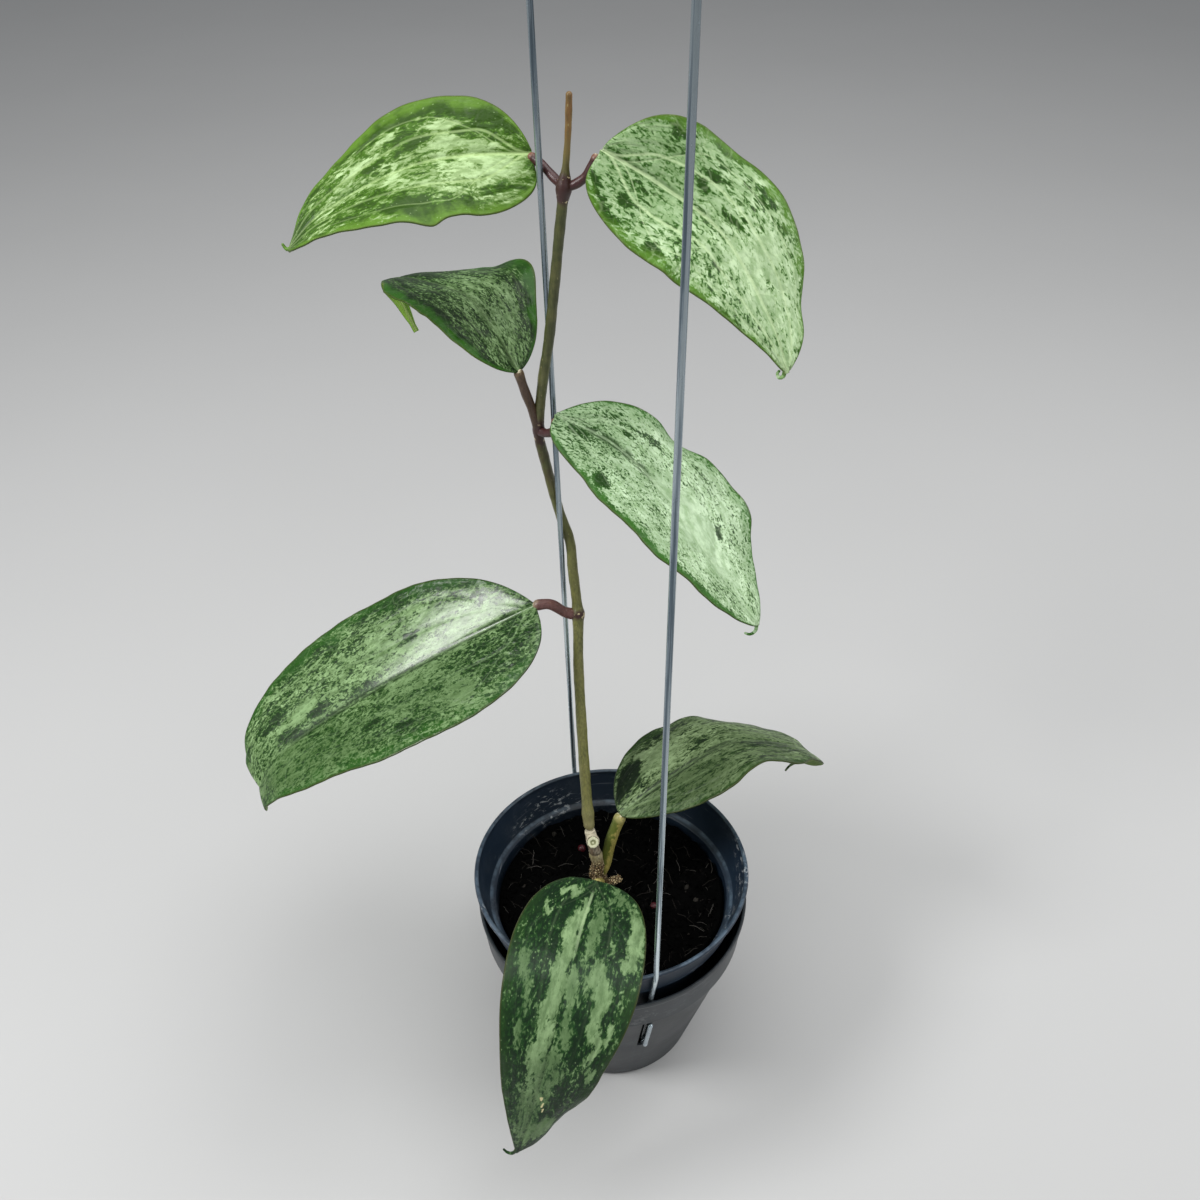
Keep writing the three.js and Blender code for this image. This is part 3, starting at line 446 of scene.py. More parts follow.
def turned(profile, sides):
    """Points and faces of a profile, (radius, height), turned round the Z axis, where it starts and ends."""
    turn = np.arange(sides) * 2 * math.pi / sides
    points = [(0, 0, profile[0][1])]
    for radius, height in profile[1:-1]:
        points += [(radius * math.cos(a), radius * math.sin(a), height) for a in turn]
    points.append((0, 0, profile[-1][1]))
    faces, top = [], 1 + (len(profile) - 3) * sides
    for j in range(sides):
        k = (j + 1) % sides
        faces.append((0, 1 + k, 1 + j))
        faces += [(a + j, a + k, a + sides + k, a + sides + j) for a in range(1, top, sides)]
        faces.append((len(points) - 1, top + j, top + k))
    return np.array(points), faces


def rounded(profile, radius, steps=4):
    """The profile with its corners turned into small arcs."""
    out = [profile[0]]
    for three in zip(profile, profile[1:], profile[2:]):
        before, corner, after = (np.array(p, float) for p in three)
        to_before, to_after = before - corner, after - corner
        sides = np.linalg.norm(to_before), np.linalg.norm(to_after)
        cut = min(radius, sides[0] * 0.45, sides[1] * 0.45)
        start, end = corner + to_before / sides[0] * cut, corner + to_after / sides[1] * cut
        for i in range(steps + 1):
            w = i / steps
            out.append(tuple((1 - w) ** 2 * start + 2 * w * (1 - w) * corner + w * w * end))
    return out + [profile[-1]]


def tube(path, radii, sides=12):
    """Points and faces of a round bar through a list of places, with closed ends."""
    path = np.asarray(path, float)
    along = np.gradient(path, axis=0)
    along /= np.linalg.norm(along, axis=1)[:, None]
    across = np.cross((0, 0, 1), along[0])
    if np.linalg.norm(across) < 0.1:
        across = np.array((1.0, 0, 0))
    points = []
    for place, direction, radius in zip(path, along, radii):
        across = across - direction * across.dot(direction)
        across /= np.linalg.norm(across)
        other = np.cross(direction, across)
        points += [place + radius * (math.cos(a) * across + math.sin(a) * other)
                   for a in np.arange(sides) * 2 * math.pi / sides]
    last = (len(path) - 1) * sides
    caps = [tuple(range(sides))[::-1], tuple(range(last, last + sides))]
    return np.array(points), ring_faces(len(path) - 1, sides) + caps


def ball(radius, place, detail):
    """Points and faces of an even ball."""
    form = bmesh.new()
    bmesh.ops.create_icosphere(form, subdivisions=detail, radius=radius)
    points = np.array([v.co for v in form.verts]) + np.array(place)
    faces = [tuple(v.index for v in face.verts) for face in form.faces]
    form.free()
    return points, faces


def joined(parts):
    points, faces, start = [], [], 0
    for these, those in parts:
        points.append(np.asarray(these))
        faces += [tuple(k + start for k in face) for face in those]
        start += len(these)
    return np.vstack(points), faces


# Node trees

class Value:
    """What a socket gives out. Sums and products of values make their own nodes."""

    def __init__(self, tree, socket):
        self.tree, self.socket = tree, socket

    def __add__(self, other):
        return maths("ADD", self, other)

    def __sub__(self, other):
        return maths("SUBTRACT", self, other)

    def __mul__(self, other):
        return maths("MULTIPLY", self, other)

    def __abs__(self):
        return maths("ABSOLUTE", self)


def put(tree, socket, value):
    """Joins a socket to a value, or sets it."""
    if isinstance(value, Value):
        tree.links.new(value.socket, socket)
    else:
        socket.default_value = value


def node(tree, kind, output, inputs=None, **settings):
    """Adds a node and gives back the value of one of its outputs."""
    made = tree.nodes.new(kind)
    for key, value in settings.items():
        setattr(made, key, value)
    for key, value in (inputs or {}).items():
        put(tree, made.inputs[key], value)
    return Value(tree, made.outputs[output])


def tree_of(values):
    return next(value.tree for value in values if isinstance(value, Value))


def maths(operation, *values):
    return node(tree_of(values), "ShaderNodeMath", 0, dict(enumerate(values)), operation=operation)


def new_tree(name, kind, inputs, build):
    """A node tree. Inputs are defaults or types by name, and build turns their values into named outputs."""
    tree = bpy.data.node_groups.new(name, kind)
    for label, default in inputs.items():
        word = default if isinstance(default, str) else type(default).__name__.capitalize()
        socket = tree.interface.new_socket(label, in_out="INPUT", socket_type=f"NodeSocket{word}")
        if word != default:
            socket.default_value = default
    given = tree.nodes.new("NodeGroupInput").outputs[:len(inputs)]
    outputs = build(*(Value(tree, socket) for socket in given))
    for label, value in outputs.items():
        word = "Geometry" if value.socket.type == "GEOMETRY" else "Float"
        tree.interface.new_socket(label, in_out="OUTPUT", socket_type=f"NodeSocket{word}")
    end = tree.nodes.new("NodeGroupOutput").inputs
    for label, value in outputs.items():
        put(tree, end[label], value)
    return tree


# Geometry Nodes: bars along a path, and what lies scattered on the potting mix

def named(tree, name):
    return node(tree, "GeometryNodeInputNamedAttribute", "Attribute", {"Name": name}, data_type="FLOAT")


def random_share(tree, seed):
    return node(tree, "FunctionNodeRandomValue", 1, {"Seed": seed}, data_type="FLOAT")


def dressed(shape, finish):
    """Ends a tree with a real mesh and its material."""
    whole = node(shape.tree, "GeometryNodeRealizeInstances", "Geometry", {"Geometry": shape})
    return node(shape.tree, "GeometryNodeSetMaterial", "Geometry", {"Geometry": whole, "Material": finish})


def round_bar(line, sides, thickness, finish):
    """A line of points, each with its girth, becomes a round bar with closed ends."""
    curve = node(line.tree, "GeometryNodeMeshToCurve", "Curve", {"Mesh": line})
    ring = node(line.tree, "GeometryNodeCurvePrimitiveCircle", "Curve", {"Resolution": sides, "Radius": 1.0})
    bar = node(line.tree, "GeometryNodeCurveToMesh", "Mesh", {
        "Curve": curve, "Profile Curve": ring, "Scale": named(line.tree, "girth") * thickness, "Fill Caps": True})
    smooth = node(line.tree, "GeometryNodeSetShadeSmooth", "Geometry", {"Geometry": bar})
    return {"Bar": dressed(smooth, finish)}


def scattered(surface, form, density, smallest, largest, sink, tilt, seed, finish):
    """Scatters one small form over a surface, with a fixed seed, and marks each copy with its own tint."""
    tree = surface.tree
    points = node(tree, "GeometryNodeDistributePointsOnFaces", "Points", {
        "Mesh": surface, "Density": density * named(tree, "open"), "Seed": seed})
    shape = node(tree, "GeometryNodeObjectInfo", "Geometry", {"Object": form}, transform_space="ORIGINAL")
    back = tilt * -1.0
    least = node(tree, "ShaderNodeCombineXYZ", 0, {"X": back, "Y": back})
    most = node(tree, "ShaderNodeCombineXYZ", 0, {"X": tilt, "Y": tilt, "Z": 6.28})
    turn = node(tree, "FunctionNodeRandomValue", 0, {0: least, 1: most, "Seed": seed}, data_type="FLOAT_VECTOR")
    size = maths("MULTIPLY_ADD", maths("POWER", random_share(tree, 7), 2.2), largest - smallest, smallest)
    bits = node(tree, "GeometryNodeInstanceOnPoints", "Instances", {
        "Points": points, "Instance": shape, "Rotation": turn, "Scale": size})
    marked = node(tree, "GeometryNodeStoreNamedAttribute", "Geometry", {
        "Geometry": bits, "Name": "tint", "Value": random_share(tree, 3)}, data_type="FLOAT", domain="INSTANCE")
    down = node(tree, "ShaderNodeCombineXYZ", 0, {"Z": sink * -1.0})
    moved = node(tree, "GeometryNodeTranslateInstances", "Instances", {
        "Instances": marked, "Translation": down, "Local Space": False})
    return {"Bits": dressed(moved, finish)}


SHAPE_TREES = {
    "Round bar": (round_bar, dict(Line="Geometry", Sides=16, Thickness=1.0, Finish="Material")),
    "Scattered bits": (scattered, dict(Surface="Geometry", Form="Object", Density=1000.0, Smallest=0.3,
                                       Largest=1.0, Sink=0.0, Tilt=6.28, Seed=1, Finish="Material")),
}


def run_tree(piece, name, **values):
    """Runs a shape tree on a piece and keeps its plain mesh."""
    if name not in TREES:
        build, inputs = SHAPE_TREES[name]
        TREES[name] = new_tree(name, "GeometryNodeTree", inputs, build)
    modifier = piece.modifiers.new("Shape", "NODES")
    modifier.node_group = TREES[name]
    for item in TREES[name].interface.items_tree:
        if item.in_out == "INPUT" and item.name in values:
            modifier[item.identifier] = values[item.name]
    return applied(piece)


def bar_piece(name, path, girths, material, sides, extra=None):
    """A round bar along a path. Extra is attributes of its points, by name."""
    mesh = bpy.data.meshes.new(name)
    mesh.from_pydata([tuple(p) for p in path * MM], [(i, i + 1) for i in range(len(path) - 1)], [])
    for label, values in {"girth": girths * MM, **(extra or {})}.items():
        set_attribute(mesh, label, values)
    return run_tree(new_object(name, mesh), "Round bar", Sides=sides, Thickness=1.0, Finish=material)


def round_ends(path, girths, extra=None, steps=4):
    """Adds short shrinking rings to both ends of a bar, inside its length."""
    run = run_along(path)
    start, end = girths[0], girths[-1]
    bend = np.linspace(0, math.pi / 2, steps + 1)
    head, tail = start * (1 - np.cos(bend)), run[-1] - end * (1 - np.cos(bend[::-1]))
    inside = run[(run > start * 1.05) & (run < run[-1] - end * 1.05)]
    places = np.concatenate([head, inside, tail])
    shrink = np.concatenate([np.sin(bend), np.ones(len(inside)), np.sin(bend[::-1])])
    fit = lambda values: np.interp(places, run, values)
    out_path = np.stack([fit(path[:, k]) for k in range(3)], axis=1)
    out_girths = np.maximum(fit(girths) * shrink, 0.02)
    return out_path, out_girths, {key: fit(row) for key, row in (extra or {}).items()}


# Shader pieces

def between(value, low, high, start=0.0, end=1.0):
    """Goes smoothly from start to end as the value goes from low to high."""
    return node(value.tree, "ShaderNodeMapRange", "Result", {
        "Value": value, "From Min": low, "From Max": high, "To Min": start, "To Max": end},
        interpolation_type="SMOOTHSTEP")


def mixed(factor, first, second):
    """Goes from the first colour to the second one; a colour may be a code."""
    values = [linear(value) if isinstance(value, str) else value for value in (factor, first, second)]
    return node(tree_of(values), "ShaderNodeMix", 2, dict(zip((0, 6, 7), values)), data_type="RGBA")


def layered(base, *layers):
    """Lays colours over a base, each one as (mask, colour)."""
    for mask, colour in layers:
        base = mixed(mask, base, colour)
    return base


def vectors(operation, *values, output="Vector"):
    return node(tree_of(values), "ShaderNodeVectorMath", output, dict(enumerate(values)), operation=operation)


def axis_of(vector, axis):
    return node(vector.tree, "ShaderNodeSeparateXYZ", axis, {"Vector": vector})


def noise(place, scale, detail=3.0, roughness=0.55, distortion=0.0, output="Fac"):
    return node(place.tree, "ShaderNodeTexNoise", output, {
        "Vector": place, "Scale": scale, "Detail": detail, "Roughness": roughness, "Distortion": distortion})


def cells(place, scale=1.0, output="Distance", **settings):
    return node(place.tree, "ShaderNodeTexVoronoi", output, {"Vector": place, "Scale": scale}, **settings)


def stretched(place, scale, **more):
    return node(place.tree, "ShaderNodeMapping", "Vector", {"Vector": place, "Scale": scale, **more})


def attribute(tree, name, output="Fac"):
    return node(tree, "ShaderNodeAttribute", output, attribute_name=name)


def object_place(tree):
    return node(tree, "ShaderNodeTexCoord", "Object")


def is_vector(value):
    return isinstance(value, tuple) or isinstance(value, Value) and value.socket.type == "VECTOR"


def grouped(name, build, **given):
    """The outputs of a shader group by name. The group is made from its function on its first use."""
    if name not in TREES:
        inputs = {label.replace("_", " "): "Vector" if is_vector(value) else 0.0
                  for label, value in given.items()}
        TREES[name] = new_tree(name, "ShaderNodeTree", inputs, build)
    tree = tree_of(given.values())
    made = tree.nodes.new("ShaderNodeGroup")
    made.node_tree = TREES[name]
    for label, value in given.items():
        put(tree, made.inputs[label.replace("_", " ")], value)
    return {output.name: Value(tree, output) for output in made.outputs}


def new_material(name):
    material = bpy.data.materials.new(name)
    material.use_nodes = True
    return material, material.node_tree


def finished(material, colour, roughness, relief=None, strength=1.0, **rest):
    """Joins colour, roughness and relief in millimetres to a material's shader, and sets the rest."""
    tree = material.node_tree
    inputs = {"Base Color": colour, "Roughness": roughness, **rest}
    if relief is not None:
        inputs["Normal"] = node(tree, "ShaderNodeBump", "Normal", {
            "Strength": strength, "Distance": MM, "Height": relief})
    for label, value in inputs.items():
        put(tree, tree.nodes["Principled BSDF"].inputs[label.replace("_", " ")], value)
    return material


def leaf_veins(place, side, half_width, shift):
    """Where the midrib, the long side veins and the net between them run, and their relief in millimetres."""
    along, out, moved = axis_of(place, "X"), abs(side), vectors("ADD", place, shift)
    middle = out * half_width
    sway = between(noise(moved, 0.03, 1.0), 0.3, 0.7, -0.05, 0.05)
    first, second = (abs(out + sway - between(along, start, end) * home) * half_width
                     for start, end, home in ((-2.0, 16.0, 0.40), (2.0, 30.0, 0.72)))
    nearest = maths("MINIMUM", first, second + 0.25)
    wavy = vectors("MULTIPLY_ADD", noise(moved, 0.16, 2.0, 0.5, output="Color"), (5.0, 5.0, 0.0), moved)
    flat = dict(voronoi_dimensions="2D")
    wide = stretched(wavy, (0.095, 0.155, 1.0))
    net, fine = (cells(size, feature="DISTANCE_TO_EDGE", **flat)
                 for size in (wide, stretched(wavy, (0.36, 0.46, 1.0))))
    tone = cells(wide, output="Color", **flat)
    radial = node(place.tree, "ShaderNodeCombineXYZ", 0, {"X": along * 0.04, "Y": side * 7.0})
    relief = (between(net, 0.0, 0.3) * 0.12 + between(fine, 0.0, 0.3) * 0.03
              + between(middle, 0.0, 1.8, 1.0, 0.0) * -0.25 + between(nearest, 0.0, 1.6, 1.0, 0.0) * -0.16
              + noise(radial, 1.0, 2.0, 0.5) * 0.8 + noise(moved, 0.35, 2.0, 0.5) * 0.28
              + noise(moved, 1.6, 2.0) * 0.02)
    return {
        "Midrib": between(middle, 0.25, 0.85, 1.0, 0.0), "Side Veins": between(nearest, 0.1, 0.75, 1.0, 0.0),
        "Net": between(net, 0.0, 0.055, 1.0, 0.0), "Fine Net": between(fine, 0.0, 0.09, 1.0, 0.0),
        "Midrib Distance": middle, "Relief": relief,
        "Cell Tone": node(place.tree, "ShaderNodeSeparateColor", "Red", {"Color": tone})}


def silver_splash(place, side, bias, cover, blotches, flakes, specks, streaks, edge, shift):
    """The crisp silver splashes of a blade: blotches drawn out along it, broken up by specks."""
    moved = vectors("ADD", place, shift)
    radial = node(place.tree, "ShaderNodeCombineXYZ", 0, {"X": axis_of(moved, "X") * 0.07, "Y": side * 8.0})
    level = bias * 0.8 + between(abs(side), edge, 1.05, 0.0, -0.45) + (cover * 0.9 - 0.45)
    for grain, weight in (
            (noise(stretched(moved, (0.05, 0.11, 1.0)), 1.0, 2.0, 0.5, 0.6), blotches),
            (noise(stretched(moved, (0.17, 0.34, 1.0)), 1.0, 3.0, 0.6, 1.0), flakes),
            (noise(stretched(moved, (0.62, 0.9, 1.0)), 1.0, 2.0, 0.55, 0.6), specks),
            (noise(radial, 1.0, 3.0, 0.6), streaks)):
        level += (grain - 0.5) * weight
    dots = cells(stretched(moved, (0.34, 0.4, 1.0)), voronoi_dimensions="2D")
    return {
        "Splash": between(level, -0.012, 0.014), "Dark": between(level, -0.05, -0.25),
        "Pale": between(level, 0.10, 0.13, 0.0, 0.6) + between(level, 0.05, 0.35, 0.0, 0.4),
        "Dots": between(dots, 0.11, 0.05) * between(noise(moved, 0.22, 2.0), 0.5, 0.62)}


def plastic_wear(place, amount):
    """Dust in soft clouds and fine straight scratches for moulded plastic."""
    cloud, fine = noise(place, 38.0, 5.0, 0.62), noise(place, 900.0, 3.0, 0.7)
    dust = between(cloud, 0.45, 0.75) * between(fine, 0.35, 0.7)
    lines = []
    for turn, shift in ((0.35, 0.0), (-0.9, 4.0), (1.3, 9.0)):
        leaned = stretched(place, (60.0, 60.0, 2600.0), Rotation=(turn, turn * 0.7, turn),
                           Location=(shift, 0, 0))
        where = between(noise(place, 55.0 + shift, 2.0), 0.5, 0.6)
        lines.append(between(noise(leaned, 1.0, 1.0, 0.5), 0.70, 0.76) * where)
    scratch = maths("MAXIMUM", maths("MAXIMUM", lines[0], lines[1]), lines[2])
    return {"Dust": dust * amount, "Scratch": scratch * amount,
            "Relief": noise(place, 420.0, 3.0) * 0.5 + scratch * -0.4}


def stem_skin(place):
    """Streaks along a stem, small pale pores and blotches, for the vine and the stalks."""
    streak = noise(stretched(place, (1500.0, 1500.0, 160.0)), 1.0, 3.0, 0.6)
    blotch = noise(place, 170.0, 3.0, 0.6)
    pores = cells(stretched(place, (620.0, 620.0, 300.0)))
    return {"Streak": between(streak, 0.35, 0.68), "Blotch": between(blotch, 0.38, 0.64),
            "Pores": between(pores, 0.16, 0.07), "Relief": streak * 0.12 + blotch * 0.1}


# Materials

def leaf_material(name, look, settings):
    material, tree = new_material(f"leaf_blade_{name}")
    place, side = attribute(tree, "blade_place", "Vector"), attribute(tree, "blade_side")
    run, under = axis_of(attribute(tree, "blade_share", "Vector"), "X"), attribute(tree, "underside")
    dark, green, lime, silver, pale, vein = (
        linear(look[key]) for key in ("dark", "green", "lime", "silver", "pale", "vein"))
    shift = tuple(look["seed"] * step for step in (137.0, 71.0, 3.7))
    veins = grouped("Leaf veins", leaf_veins, Place=place, Side=side, Half_Width=attribute(tree, "half_width"),
                    Shift=shift)
    grain = look.get("grain", 1.0)
    blotches, flakes, specks, streaks = look["weights"]
    drawn_out = stretched(place, (grain * look["draw"], grain, grain))
    splash = grouped("Silver splash", silver_splash, Place=drawn_out, Side=side,
                     Bias=attribute(tree, "splash_bias"), Cover=look["cover"], Blotches=blotches,
                     Flakes=flakes, Specks=specks, Streaks=streaks, Edge=look["edge"], Shift=shift)
    mottle = noise(place, 0.11, 3.0, 0.6)
    margin = between(abs(side) + between(mottle, 0.3, 0.7, -0.10, 0.10), 0.76, 0.97) * look["margin"]
    clouds = between(noise(stretched(place, (0.2, 0.45, 1.0)), 1.0, 4.0, 0.65), 0.36, 0.62, 0.3, 1.0)
    cell_green = tuple(0.45 * g + 0.55 * s for g, s in zip(green, silver))
    # Dull silver for the dull spots, which also serves as painted shade where a blade half faces away from the
    # light.
    dull_and_shade = mixed(between(splash["Pale"], 0.0, 1.0, 0.3, 0.7), green, silver)
    sheen = layered(silver, (splash["Pale"] * clouds, pale),
                    (between(veins["Cell Tone"], 0.2, 0.8) * 0.3, cell_green),
                    (attribute(tree, "splash_dull_and_shade"), dull_and_shade), (margin * 0.4, lime))

    start, end, strength = look["line"]
    reach = between(run, start - 0.02, start + 0.04) * between(run, end - 0.08, end + 0.04, 1.0, 0.0)
    broken = between(noise(stretched(place, (0.3, 0.6, 1.0)), 1.0, 3.0, 0.65), 0.38, 0.5)
    line = between(veins["Midrib Distance"], 2.4, 0.8) * broken * reach * strength
    fade, net = look["vein_strength"], look.get("net", 0.3)
    near_base = between(run, 0.05, 0.6, 1.0, look.get("far_veins", 0.6))
    midrib = veins["Midrib"] * look.get("midrib", fade) * near_base
    if "midrib_end" in look:
        end = look["midrib_end"]
        midrib *= between(run, 0.03, 0.07) * between(run, end - 0.05, end + 0.02, 1.0, 0.0)
    scar = between(attribute(tree, "scar") + noise(place, 0.9, 3.0) * 0.5, 0.68, 0.8)
    top = layered(green, (splash["Dark"], dark), (margin, lime), (splash["Splash"], sheen),
                  (splash["Dots"] * look.get("dots", 0.35), pale), (line, dark),
                  (veins["Net"] * (net * fade), vein), (veins["Fine Net"] * (net * 0.5 * fade), vein),
                  (veins["Side Veins"] * (0.8 * fade) * near_base, vein), (midrib, vein),
                  (between(abs(side), 0.975, 1.0, 0.0, 0.45), "#4c4a22"), (scar, "#cfc896"))
    below = layered(look.get("below", settings.underside), (between(mottle, 0.4, 0.65, 0.0, 0.35), lime),
                    (veins["Net"] * 0.35, "#9db06f"), (veins["Midrib"] * 0.6, "#a9b87a"))

    wax, coat = look["gloss"]
    rough = between(splash["Splash"], 0.0, 1.0, wax, wax + settings.matt) + under * 0.15
    if "shine_end" in look:
        start, end = look["shine_end"] - 0.1, look["shine_end"] + 0.1
        coat = between(run, start, end, coat, 0.04)
        rough += between(run, start, end, 0.0, 0.25)
    relief = veins["Relief"] * between(under, 0.0, 1.0, 1.0, -0.8)
    return finished(material, mixed(under, top, below), rough, relief, 0.9, Coat_Weight=coat,
                    Coat_Roughness=0.2, Specular_IOR_Level=0.22)


def stem_material(settings):
    material, tree = new_material("vine_skin")
    place = object_place(tree)
    height, skin = axis_of(place, "Z"), grouped("Stem skin", stem_skin, Place=place)
    dark = attribute(tree, "node_dark") + between(skin["Blotch"], 0, 1, -0.12, 0.12)
    rim = between(dark, 0.46, 0.56) * between(dark, 0.85, 0.68)
    fleck = between(noise(place, 620.0, 2.0), 0.58, 0.64) * rim
    colour = layered(settings.stem, (between(height, 0.15, 0.30), settings.young_stem),
                     (between(height, 0.357, 0.375), "#7d5a30"), (skin["Streak"] * 0.55, "#33341a"),
                     (skin["Blotch"] * 0.25, "#8a8550"), (skin["Pores"] * 0.5, "#a39b6b"),
                     (between(dark, 0.2, 0.7), settings.node), (fleck, "#cdbd92"),
                     (between(height, 0.130, 0.114, 0.0, 0.6), "#8d8263"))
    return finished(material, colour, between(skin["Streak"], 0, 1, 0.36, 0.5), skin["Relief"])


def stalk_material(name, plain, dark, ring, flank=None):
    """The skin of a stalk: plain with dark streaks, a ring at its blade, and another colour on one flank."""
    material, tree = new_material(name)
    place, share = object_place(tree), attribute(tree, "share")
    skin = grouped("Stem skin", stem_skin, Place=place)
    colour = mixed(skin["Streak"] * 0.45, plain, dark)
    if flank:
        side = attribute(tree, "flank") + between(noise(place, 420.0, 3.0), 0.3, 0.7, -0.5, 0.5)
        colour = mixed(between(side, 0.35, -0.35, 0.0, 0.9), colour, flank)
    swollen = between(share + between(skin["Blotch"], 0, 1, -0.03, 0.03), 0.86, 0.97)
    joint = between(share, 0.97, 0.99) * between(noise(place, 700.0, 2.0), 0.46, 0.56)
    colour = layered(colour, (between(share, 0.25, 0.0, 0.0, 0.6), dark), (swollen * 0.6, ring),
                     (joint, "#d9cfae"), (skin["Pores"] * 0.3, ring),
                     (between(noise(place, 1900.0, 2.0), 0.56, 0.64, 0.0, 0.5), dark))
    return finished(material, colour, between(skin["Blotch"], 0, 1, 0.32, 0.45), skin["Relief"])


def bark_material(settings):
    material, tree = new_material("bark")
    place = object_place(tree)
    height, patch = axis_of(place, "Z"), noise(place, 260.0, 4.0, 0.65)
    cracks = noise(stretched(place, (900.0, 900.0, 300.0)), 1.0, 5.0, 0.7)
    grains = cells(place, 950.0, feature="DISTANCE_TO_EDGE")
    low = between(height, 0.1062, 0.1005)
    # In the callus crust, cream on the raised tops of the grains is painted highlight, and the dark crevices
    # between them are dark crust and partly painted shade.
    crust = layered(settings.callus, (between(patch, 0.42, 0.58), "#8a5a30"),
                    (between(grains, 0.14, 0.28, 0.0, 0.8), "#ecdcae"),
                    (between(grains, 0.12, 0.04, 0.0, 0.9), "#23160b"))
    radius = attribute(tree, "scar_radius") + between(noise(place, 1400.0, 3.0), 0.3, 0.7, -0.2, 0.2)
    face = layered(settings.scar, (between(radius, 1.25, 1.05), "#878a62"),
                   (between(radius, 0.5, 0.3), settings.scar), (between(radius, 2.15, 2.35), "#4a3d26"))
    colour = layered(settings.bark, (between(patch, 0.4, 0.62), "#766552"),
                     (between(height, 0.1085, 0.1065, 0.0, 0.65), "#a09668"),
                     # Pale between the cracks is painted highlight on the ridges; the dark cracks are partly
                     # painted shade in the grooves.
                     (between(cracks, 0.40, 0.30) * 0.6, "#ddd3bd"), (low * between(patch, 0.68, 0.50), crust),
                     (between(cracks, 0.52, 0.64) * 0.7, "#33281a"),
                     (between(abs(height - 0.1074), 0.0006, 0.0002, 0.0, 0.7), "#3b2f24"),
                     (between(height, 0.1145, 0.1160, 0.0, 0.85), "#d9d0b6"),
                     (between(attribute(tree, "scar"), 0.4, 0.6), face))
    relief = patch * 0.5 + cracks * -0.7 + between(grains, 0.0, 0.3) * low * 0.5
    return finished(material, colour, 0.8, relief)


def plastic_material(name, colour, settings, band, highlight_heights, seat=Matrix()):
    """Matte pot plastic. A band is (low, high, strength, colour) of haze between two heights, in metres, partly
    dust and partly painted sheen; then come the heights of edges painted with a thin pale highlight line, and
    seat the lean of the pot's own space."""
    material, tree = new_material(name)
    place = object_place(tree)
    wear = grouped("Plastic wear", plastic_wear, Place=place, Amount=settings.wear)
    back = seat.inverted()[2]
    height = vectors("DOT_PRODUCT", place, tuple(back[:3]), output="Value") + back[3]
    # The band between two heights is made lighter: partly dust haze, partly painted sheen.
    low, high, strength, haze_and_sheen_colour = band
    wave = height + between(noise(place, 60.0, 4.0, 0.7), 0.3, 0.7, -0.002, 0.002)
    haze_and_sheen = between(wave, low, low + 0.003) * between(wave, high, high + 0.003, 1.0, 0.0)
    where = between(noise(place, 26.0, 2.0), 0.50, 0.60)
    crumbs = noise(stretched(place, (260.0, 260.0, 700.0)), 1.0, 4.0, 0.7, 0.5)
    crumbs = between(crumbs, 0.55, 0.62) * where * haze_and_sheen
    # Thin pale lines at the given heights are painted highlights on the edges; a noise breaks them up.
    highlight_strength = between(noise(place, 120.0, 3.0, 0.7), 0.40, 0.62, 0.08, 0.5)
    edges = [(between(abs(height - level), 0.0006, 0.0001) * highlight_strength, "#657a8c") for level in highlight_heights]
    cloud = noise(place, 22.0, 4.0, 0.6)
    colour = layered(colour, (between(cloud, 0.35, 0.7, 0.0, 0.25), "#000000"), (haze_and_sheen * strength, haze_and_sheen_colour),
                     (crumbs * (strength * 1.4), "#c3c8cb"), *edges, (wear["Dust"] * 0.5, settings.dust),
                     (wear["Scratch"] * 0.8, settings.dust))
    return finished(material, colour, between(wear["Dust"] + cloud, 0.3, 1.0, 0.40, 0.62), wear["Relief"], 0.12)


def wire_material(settings):
    """Zinc with painted highlight lines, light and dark along the wire, which die away towards the hooks; the
    legs inside the pot wall are painted dark as shade.
    """
    material, tree = new_material("galvanised_wire")
    place = object_place(tree)
    height, spangle = axis_of(place, "Z"), noise(stretched(place, (700.0, 700.0, 220.0)), 1.0, 4.0, 0.6)
    # Light and dark lines along the wire are painted highlight and reflection, for the bright core and dark edges
    # of a round wire.
    painted_highlight_lines = noise(stretched(place, (1100.0, 1100.0, 16.0)), 1.0, 2.0, 0.5)
    painted_highlight_lines = (painted_highlight_lines - 0.48) * between(height, 0.092, 0.104) + 0.48
    colour = layered(settings.zinc, (between(spangle, 0.38, 0.66, 0.0, 0.4), "#8693a0"),
                     (between(painted_highlight_lines, 0.50, 0.56, 0.0, 0.85), "#e9f6fa"),
                     (between(painted_highlight_lines, 0.46, 0.40, 0.0, 0.8), "#42535e"),
                     (between(height, 0.13, 0.24, 0.0, 0.6), "#53616c"),
                     # The legs behind the pot wall are painted near-black, as the shade inside the slot and the
                     # pot.
                     (attribute(tree, "painted_shade_in_wall") * 0.9, "#14171a"))
    rough = between(spangle, 0.3, 0.7, 0.18, 0.28)
    return finished(material, colour, rough, spangle + painted_highlight_lines, 0.03, Metallic=0.7)


def mix_material(settings):
    material, tree = new_material("potting_mix")
    place, tint = object_place(tree), attribute(tree, "tint")
    grain, patch = noise(place, 700.0, 5.0, 0.7), noise(place, 160.0, 4.0, 0.6)
    fibre = mixed(between(tint, 0.5, 1.0), settings.fibre, "#5a5753")
    colour = layered(settings.peat, (between(tint, 0.72, 0.95, 0.0, 0.8), "#0c0b0b"),
                     (between(tint, 0.975, 0.985, 0.0, 0.8), "#35322e"),
                     (between(grain, 0.58, 0.75, 0.0, 0.4), "#0b0a0a"), (attribute(tree, "fibre"), fibre))
    return finished(material, colour, 0.9, grain + patch, 0.5, Specular_IOR_Level=0.05)


